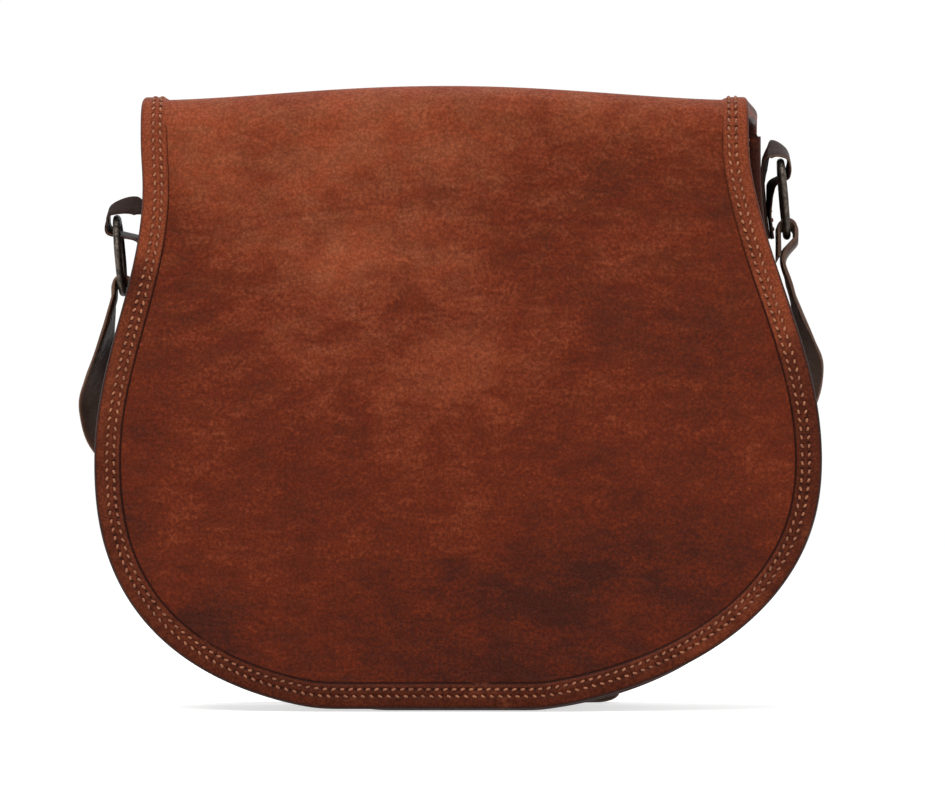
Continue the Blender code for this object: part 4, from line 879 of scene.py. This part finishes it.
outer, inner = [[row[0] for row in grid] + [row[-1] for row in reversed(grid)] for grid in shell]
for i in range(len(outer)):
    j = (i + 1) % len(outer)
    mesh.faces.new((outer[i], outer[j], inner[j], inner[i]))
new_piece("cotton_lining", mesh, cotton, "body", "lining")


# ---- Lining of the flap
# A thin split of sheepskin, matt side out, backs the flap below the fold and is sewn in under
# the same folded strip. Its soft nap has paler rubbed patches.
suede = Finish("suede", 0.85, specular=0.15)
where = suede.place()
nap, cloud = suede.noise(where, 0.0012, 5, 0.7), suede.noise(where, 0.03, 4, 0.6, 0.4)
rubbed = suede.ramp(nap * 0.4 + cloud * 0.8, 0.3, 0.9)
suede.feed("Base Color", suede.mix(rubbed, (0.12, 0.055, 0.028), (0.26, 0.13, 0.065)))
suede.feed("Normal", suede.relief(nap, 0.0004))
set_back, inset = rear * (hide + gap), 0.992
rows = [[(p + set_back, n, v) for p, n, v in [flap_point(z, s * inset) for s in steps(60, -1, 1)]]
        for z in fall_levels(body_top, 0.0035, 34, 30)]
facing = new_piece("flap_facing", skin(rows, facing_thick), suede, None, "flap_lining")
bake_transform(facing)


# ---- Front slip pocket
# A patch of leather under the flap, sewn down round its rim so that it swells, with a folded
# strip along its mouth. It carries the lower half of the magnetic snap.
pocket_inset, pocket_reach, pocket_top, pocket_thick = 0.013, 0.008, 0.162, 0.0016
pocket_foot = stand + pocket_inset


def pocket_point(z, s):
    half = body_half(z) - pocket_inset
    if z <= flap_level:
        half = rounded(z, body_widest - pocket_inset, flap_level, pocket_foot - past_foot)
    rim = min(half - abs(half * s), z - pocket_foot)
    share = clamped(rim / 0.022)
    swell = 0.0062 * share * share * (3 - 2 * share)
    return Vector((half * s, -front_face - gap - pocket_thick - swell, z)), front, z


rows = [[pocket_point(z, s) for s in steps(64, -1, 1)]
        for z in fall_levels(pocket_top, pocket_foot, 24, 30)]
new_piece("slip_pocket", skin(rows, pocket_thick), front_leather, "body", "front_pocket")
frames = bound("pocket_strip", rows[0][5:-5][::-1],
               folded_section(pocket_thick, pocket_reach, pocket_reach), "pocket_binding")
sewing = stitches(frames, outer_row, stand, bmesh.new())
stitches(eased(rim_of(rows)), -0.003, 0.0, sewing)
new_piece("pocket_sewing", sewing, waxed_thread, "body")


# ---- Zip pocket in the back wall
# Cotton tapes, closed brass teeth and a slider with a leather puller fill the slit, and a flat
# cotton pouch hangs behind it. The metal pieces keep their CAD shapes.
def aged_metal(name, bright, dark, rough):
    """Old metal: worn bright where it rubs, tarnished where it does not."""
    finish = Finish(name, rough, 1.0)
    at = finish.place()
    tarnish = finish.noise(at, 0.0035, 5, 0.65, 0.3)
    pit = finish.noise(at, 0.00064, 4, 0.6)
    share = finish.ramp(tarnish * 0.8 + pit * 0.4, 0.42, 0.8)
    finish.feed("Base Color", finish.mix(share, dark, bright))
    finish.feed("Roughness", rough + 0.22 - share * 0.22)
    finish.feed("Normal", finish.relief(pit, 0.00012))
    return finish


def refinish(finish, *nodes):
    """Gives CAD pieces that keep their shape their real finish."""
    for node in nodes:
        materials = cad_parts[node].data.materials
        materials.clear()
        materials.append(finish.material)


def tape_point(x, z):
    return Vector((x, back_inner - 0.00005 * (1 + math.sin(x * 900)), z)), rear, z


def sewn_line(points, face, mesh, height=0.0):
    """A row of stitches along a line of points on a flat face."""
    stitches(eased([(point, face) for point in points]), 0.0, height, mesh)


brass = aged_metal("zip_brass", (0.5, 0.34, 0.15), (0.2, 0.12, 0.05), 0.34)
refinish(brass, "zip_teeth_upper", "zip_teeth_lower", "zip_slider")
tape = woven("zip_tape_cotton", (0.06, 0.034, 0.022), (0.02, 0.011, 0.008), 0.0007)
tape_reach, tape_half, tape_thick = zip_reach + 0.01, 0.014, 0.0006
for node, side in (("zip_tape_upper", 1), ("zip_tape_lower", -1)):
    levels = [zip_level + side * (gap / 2 + (tape_half - gap / 2) * t) for t in steps(10)]
    rows = [[tape_point(x, z) for x in steps(60, -tape_reach, tape_reach)] for z in levels]
    new_piece(node + "_cloth", skin(rows, tape_thick), tape, "body", node)

pouch_top = zip_level + tape_half
pouch_foot, pouch_face = pouch_top - 0.115, back_inner - pouch_set_in - gap
hem, cloth, close = 0.001, 0.0008, 0.0001
slit_foot, slit_top = zip_level - zip_half - hem, pouch_top - 0.005
rear_side = [(-close, pouch_foot), (-close, slit_foot), (-cloth, slit_foot),
             (-hem, pouch_foot + hem), (cloth - pouch_thick, pouch_foot + hem),
             (cloth - pouch_thick, slit_top), (-close, slit_top), (-close, pouch_top)]
rings = []
for x in steps(40, -tape_reach, tape_reach):
    front_side = []
    for t in steps(30):
        z = pouch_top + (pouch_foot - pouch_top) * t
        ripple = 0.00025 * (1 + math.sin(x * 140 + z * 60)) * math.sin(math.pi * t)
        front_side.append((ripple - pouch_thick, z))
    rings.append([Vector((x, pouch_face + y, z)) for y, z in front_side + rear_side])
new_piece("zip_pouch", tube(bmesh.new(), rings), cotton, "body", "zip_pocket_bag")

seam_off = 0.0022
sewing = bmesh.new()
for ends in (((-1, 1), (1, 1)), ((1, -1), (-1, -1)), ((-1, -1), (-1, 1)), ((1, 1), (1, -1))):
    line = [Vector((x * (zip_reach + seam_off), back_face, zip_level + z * (zip_half + seam_off)))
            for x, z in ends]
    sewn_line(line, rear, sewing, close)
new_piece("zip_sewing", sewing, waxed_thread, "body")


# ---- Magnetic snap
# Two nickel-plated halves, the socket riveted to the slip pocket and the stud to the flap.
# Both keep their CAD shapes and get their real finish here.
nickel = aged_metal("snap_nickel", (0.55, 0.5, 0.43), (0.26, 0.22, 0.18), 0.3)
refinish(nickel, "snap_socket", "snap_stud")


# ---- Rings
# Round rings bent from thick iron wire, antiqued almost black, with the finish rubbed thin
# where tab and strap hang on them.
def side_at(z):
    """How far out the body's bound edges reach at a level."""
    return body_half(z) + stand


iron = aged_metal("antique_iron", (0.125, 0.1, 0.08), (0.022, 0.018, 0.016), 0.4)
ring_radius, wire = 0.0145, 0.0015
ring_right, ring_left = [Vector((side * (side_at(z) + off), 0, z))
                         for side, z, off in ((1, 0.1985, 0.009), (-1, 0.1765, 0.012))]
swing = (ring_right - ring_left).normalized()
ring_up = Vector((-swing.z, 0, swing.x))
for side, centre in (("right", ring_right), ("left", ring_left)):
    rings = []
    for a in steps(96, 0, math.tau)[:-1]:
        spoke = rear * math.cos(a) + ring_up * math.sin(a)
        thick = wire * (1 - 0.025 * (1 + math.sin(a * 5 + 1) * math.sin(a * 3)))
        rings.append([centre + spoke * (ring_radius + thick * math.cos(b))
                      + swing * thick * math.sin(b) for b in steps(18, 0, math.tau)[:-1]])
    new_piece(f"ring_{side}_wire", tube(bmesh.new(), rings, closed=True), iron,
              side + "_ring", "ring_" + side)


# ---- Tabs that hold the rings
# A short strap of goat leather, its colour darkened to painted shade, goes over each ring's top,
# comes down on itself and is sewn flat to the gusset. The left one has stretched and droops
# outwards.
def curve(points, count):
    """A smooth curve through the given points."""
    line = []
    for i in range(len(points) - 1):
        a, b = points[max(i - 1, 0)], points[i]
        c, d = points[i + 1], points[min(i + 2, len(points) - 1)]
        for t in steps(count)[:-1]:
            line.append(0.5 * (2 * b + (c - a) * t + (2 * a - 5 * b + 4 * c - d) * t ** 2
                               + (3 * b - a - 3 * c + d) * t ** 3))
    return line + [points[-1].copy()]


def strap_mesh(path, width, thick, drop, lean=None):
    """A flat strap along a path, with eased edges. Its UV is (length along, place round the
    section), where 0 to 1 is the grain side and 1 to 2 the flesh side."""
    rings, along, last = [], lengths(path), len(path) - 1
    for i, (point, length) in enumerate(zip(path, along)):
        ahead = (path[min(i + 1, last)] - path[max(i - 1, 0)]).normalized()
        side = (rear - ahead * ahead.y).normalized()
        out = ahead.cross(side)
        if lean:
            turn = lean(point)
            side, out = (side * math.cos(turn) + out * math.sin(turn),
                         out * math.cos(turn) - side * math.sin(turn))
        ring = []
        for face in (1, -1):
            wave = 0.00006 * math.sin(length * 340 + face)
            for u in steps(9, -0.5, 0.5):
                u = u * face
                edge = 1 - max(0, abs(u) - 0.44) / 0.06 * 0.55
                ring.append(point + side * (u * (width + 0.0002 * math.sin(length * 210)))
                            + out * (thick / 2 * face * edge + wave) + drop(i / last, u * width))
        rings.append(ring)
    return tube(bmesh.new(), rings, lambda i, k: (along[i], 2.0 * k / len(rings[0])))


def strap_leather(name, grain_side, flesh_side):
    """Bridle-like goat strap: dark grain side, grey-brown flesh side, rubbed pale cut edges."""
    finish = Finish(name, specular=0.07)
    at = finish.place()
    _, around, _ = finish.axes(finish.place("UV"))
    cloud = finish.noise(at, 0.02, 4, 0.6, 0.4)
    pebble, speck, crease = grain(finish, at, 0.0008)
    flesh = finish.ramp(around, 0.995, 1.005)
    tone = finish.ramp(cloud * 0.9 + (speck - 0.5) * 0.5, 0.3, 0.75)
    top = finish.mix(tone, tuple(c * 0.45 for c in grain_side), grain_side)
    fuzz = finish.ramp(speck * 0.8 + cloud * 0.4, 0.35, 0.8)
    nap = finish.mix(fuzz, tuple(c * 0.6 for c in flesh_side), flesh_side)
    colour = finish.mix(flesh, top, nap)

    def at_edge(off):
        return 2.718 ** -((off / 0.055) ** 2)

    rim = at_edge(around - 1.0) + at_edge(around) + at_edge(around - 2.0)
    rubbed = finish.ramp(rim * (0.6 + cloud * 0.8), 0.3, 1.1)
    finish.feed("Base Color", finish.mix(rubbed, colour, (0.13, 0.062, 0.038)))
    finish.feed("Roughness", 0.46 + flesh * 0.3 + (speck - 0.5) * 0.15)
    fine = finish.relief(0.5 - pebble * 0.4 + speck * 0.5, 0.0002)
    finish.feed("Normal", finish.relief(crease, 0.0007, fine))
    return finish


def pulled(side):
    """How a tab is drawn out of line round its ring, from the share of its length and y."""
    def by(share, y):
        at = share * 20
        rear_out = np.interp(at, (6, 7, 8, 9), (0, 0.25, 0.35, 0))
        front_out = np.interp(at, (11, 12, 13, 14, 15, 16), (0, 0.2, 0.38, 0.25, 0.03, 0))
        skew = np.interp(at, (7, 8, 9, 10, 11, 12, 14), (0, 0.3, 0.45, 0.3, 0.15, 0.15, 0))
        slump = np.interp(at, (7, 9, 11), (0, 0.0035, 0))
        return Vector((side * (max(y, 0) * rear_out - min(y, 0) * front_out), 0,
                       y * skew - slump))
    return by


# The tab's colours are painted shade, darkened close to black for the shade the tabs hang in beside
# the gusset.
shaded_tab_leather = strap_leather("shaded_tab_leather", (0.034, 0.012, 0.009), (0.02, 0.009, 0.007))
tab_thick, tab_width, row_off = 0.0013, 0.016, 0.0055
hold = wire + gap * 3 + tab_thick / 2
sag = ring_radius - math.sqrt(ring_radius ** 2 - (tab_width / 2) ** 2)
inner = tab_thick / 2 + gap * 2
outer = inner + tab_thick + gap
tack = 0.002
for name, ring, side, foot in (("tab_right", ring_right, 1, 0.183),
                               ("tab_left", ring_left, -1, 0.169)):
    top = ring + ring_up * ring_radius
    against, rise = side_at(top.z) + inner, top.z + 0.0085
    middle, reach = (top.z + rise) / 2, abs(top.x)
    low = top.z - hold - sag - 0.0015
    seam = low - hold * 1.6
    points = [(side_at(z) + inner, z) for z in steps(7, foot, top.z - hold * 2)[:-1]]
    points += [(against, top.z - hold), (against + tab_thick * 0.6, middle),
               ((against + reach) / 2, rise), (reach + hold * 0.55, middle + hold * 0.4),
               (reach + hold + gap, top.z), (reach + hold * 0.5, low + hold * 0.6),
               (side_at(low) + outer + tab_thick, low - tab_thick * 0.8),
               (side_at(seam) + outer + gap, seam)]
    points += [(side_at(z) + outer, z) for z in steps(7, foot, seam - hold)[5::-1]]
    path = curve([Vector((x * side, 0, z)) for x, z in points], 8)
    new_piece(name + "_strap", strap_mesh(path, tab_width, tab_thick * 0.96, pulled(side)),
              shaded_tab_leather, "body", name)
    sewing = bmesh.new()
    for y in (-row_off, row_off):
        line = [Vector((side * (side_at(z) + outer + tab_thick / 2), y, z))
                for z in steps(6, foot + tack, seam - tack)]
        sewn_line(line, Vector((side, 0, 0)), sewing)
    new_piece(name + "_sewing", sewing, waxed_thread, "body")


# ---- Shoulder strap
# A plain strap of goat leather in two lengths, folded over the foot of each ring and joined by
# a pin buckle. It hangs down both sides and lies folded back and forth behind the bag.
strap_width, strap_thick, strap_back = 0.018, 0.002, 0.05
loop_hold, lap, tip = wire + 0.0009 + strap_thick / 2, 0.024, 0.04
bar_wire, buckle_length = 0.0013, 0.022
heel = Vector((0.018, strap_back, 0.027))
far_bar = heel - Vector((buckle_length - 2 * bar_wire, 0, 0))
bar_hold = bar_wire + gap + strap_thick / 2
over = bar_hold + strap_thick + gap
prong_wire = 0.0011
prong_sweep = bar_wire + gap * 2 + prong_wire * 2
layers, pile_half, fold_out, points_at_ring = 5, 0.053, 0.009, 35
beside_right = ((0.0057, 0.001, 0.174), (0.0063, 0.005, 0.165), (0.0077, 0.011, 0.157),
                (0.0088, 0.02, 0.146), (0.009, 0.03, 0.136), (0.0066, 0.041, 0.126),
                (0.0025, 0.048, 0.116))
behind_right = ((0.962, 0.106), (0.885, 0.094), (0.794, 0.078), (0.714, 0.058), (0.641, 0.042),
                (0.565, 0.0325))
beside_left = ((0.0111, 0.001, 0.152), (0.0118, 0.009, 0.142), (0.012, 0.019, 0.13),
               (0.0117, 0.03, 0.118), (0.0085, 0.041, 0.106))
behind_left = ((1.015, 0.095), (0.939, 0.085), (0.847, 0.071), (0.763, 0.054), (0.687, 0.034),
               (0.603, 0.016), (0.519, 0.006))


def leg(side, beside, behind):
    """A leg's route: past the body's side by an amount, then behind the back."""
    route = [Vector((side * (side_at(z) + off), y, z)) for off, y, z in beside]
    return route + [Vector((side * body_widest * share, strap_back, z)) for share, z in behind]


def turned_leg(side, most, level, reach):
    """How far a leg turns its flesh side to the front, most at the given level."""
    def lean(point):
        off = abs(point.z - level) / reach
        if off >= 1 or point.x * side < 0:
            return 0
        return -side * math.radians(most) * math.cos(quarter * off) ** 2
    return lean


def about(middle, places, along=1, up=1):
    """Points about a middle, from places of (x, z) in the units given for x and for z."""
    return [middle + Vector((along * x, 0, up * z)) for x, z in places]


def arc(count, low, high):
    return [(math.cos(a), math.sin(a)) for a in steps(count, low, high)]


def end_loop(ring, cut_side):
    """The strap's end as it goes over the foot of a ring, from its cut end to the leg."""
    foot, hold = ring - ring_up * ring_radius, cut_side * loop_hold
    points = about(foot, [(0.95, -share) for share in (0.45, 0.32, 0.2)], hold, lap)
    points += about(foot, arc(14, 0, math.pi), hold, loop_hold)
    return points + about(foot, [(-1, -0.14)], hold, lap)


def pile_point(layer, share):
    pitch = 0.0043 + 0.0022 * share ** 2
    return Vector((share * pile_half, strap_back, strap_thick / 2 + gap + layer * pitch))


def pile():
    """The strap's layers on the ground, folded back and forth. The top one is cut short."""
    points = []
    for layer in range(layers - 1):
        heading = (-1) ** layer
        points += [pile_point(layer, heading * s) for s in steps(10, -1, 1)]
        start, end = pile_point(layer, heading), pile_point(layer + 1, heading)
        points += about((start + end) / 2, arc(12, -quarter, quarter)[1:-1], heading * fold_out,
                        (end.z - start.z) / 2)
    return points + [pile_point(layers - 1, -heading * s) for s in (-1, -0.8, -0.6)]


def strap_piece(node, path, lean, slot_x, slot_z):
    """One length of the strap, with the long hole for the buckle's prong punched through."""
    def follow_ring(share, u):
        """Cross lines curve with the ring's wire at the loop and straighten down the leg."""
        fade = clamped((points_at_ring - share * (len(path) - 1)) / (points_at_ring / 3))
        return Vector((0, 0, (ring_radius - math.sqrt(ring_radius ** 2 - u ** 2)) * fade))

    mesh = strap_mesh(path, strap_width, strap_thick * 0.97, follow_ring, lean)
    piece = new_piece(node + "_leather", mesh, strap_grain, None, node)
    punched(piece, shaded_tab_leather, (sum(slot_x) / 2, strap_back, sum(slot_z) / 2),
            (slot_x[1] - slot_x[0], 2 * (prong_wire + gap * 2), slot_z[1] - slot_z[0]))
    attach(piece, "strap")


strap_grain = strap_leather("strap_leather", (0.125, 0.07, 0.051), (0.19, 0.115, 0.085))
loop = end_loop(ring_left, 1)
route = curve(loop[-1:] + leg(-1, beside_left, behind_left) + [pile_point(0, -1)], 7)[:-1]
tail = about(far_bar, ((-0.5, -1.05), (0, -1), (0.2, -0.6)), buckle_length, bar_hold)
tail += about(heel, ((-0.25, 0.85), (0, 1)), buckle_length, over)
tail += about(heel, ((0.5, 1), (1, 1)), tip, over)
strap_piece("strap_long", loop[:-1] + route + pile() + curve(tail, 6),
            turned_leg(-1, 50, 0.115, 0.042),
            (far_bar.x + buckle_length * 0.22, heel.x + prong_sweep),
            (heel.z - over, heel.z + over * 2))

loop = end_loop(ring_right, -1)
route = curve(loop[-1:] + leg(1, beside_right, behind_right)
              + about(heel, ((1.1, 1), (0, 1)), tip, bar_hold), 7)
bend = about(heel, arc(10, quarter, 3 * quarter)[1:-1], bar_hold, bar_hold)
under = about(heel, [(share, -1) for share in steps(4)], lap, bar_hold)
strap_piece("strap_short", loop[:-1] + route + bend + under,
            turned_leg(1, 35, 0.13, 0.035),
            (heel.x - bar_hold * 2, heel.x + prong_sweep),
            (heel.z - bar_hold * 2, heel.z + over - strap_thick / 2))

sewing = bmesh.new()
seam_x, seam_z = heel.x + 0.0043, heel.z - bar_hold - strap_thick / 2
for ends in ((-0.0092, -0.0022), (0.0022, 0.0092)):
    line = [Vector((seam_x, strap_back + y, seam_z)) for y in ends]
    sewn_line(line, -upward, sewing)
new_piece("strap_sewing", sewing, waxed_thread, "strap")


# ---- Buckle and keeper
# A pin buckle bent from iron wire, with a prong that turns on its heel bar, and a leather
# keeper that slides along the strap and holds the tip down.
refinish(iron, "buckle_frame", "buckle_prong")
box_low, box_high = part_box("strap_keeper")
keeper_thick, corner_radius = 0.0014, 0.0012
side_y = strap_width / 2 + gap - corner_radius
low_z = box_low[2] + keeper_thick + corner_radius
high_z = box_high[2] - keeper_thick - corner_radius
section = ((0, 0), (0.0005, 0.9), (0.0015, 1), (0.0085, 1), (0.0095, 0.9), (0.01, 0))
rings = []
for y, z, begin in ((-side_y, low_z, math.pi), (side_y, low_z, -quarter), (side_y, high_z, 0.0),
                    (-side_y, high_z, quarter)):
    for a in steps(5, 0, quarter):
        spoke = Vector((0, math.cos(begin + a), math.sin(begin + a)))
        rings.append([Vector((box_low[0] + x, strap_back + y, z))
                      + spoke * (corner_radius + keeper_thick * high) for x, high in section])
keeper_leather = hide_leather("keeper_leather", "Object", (), 0.45,
                              ((0.05, 0.018, 0.011), (0.095, 0.032, 0.02)))
new_piece("keeper_loop", tube(bmesh.new(), rings, closed=True), keeper_leather, "keeper",
          "strap_keeper")
refinish(keeper_leather, "zip_puller")
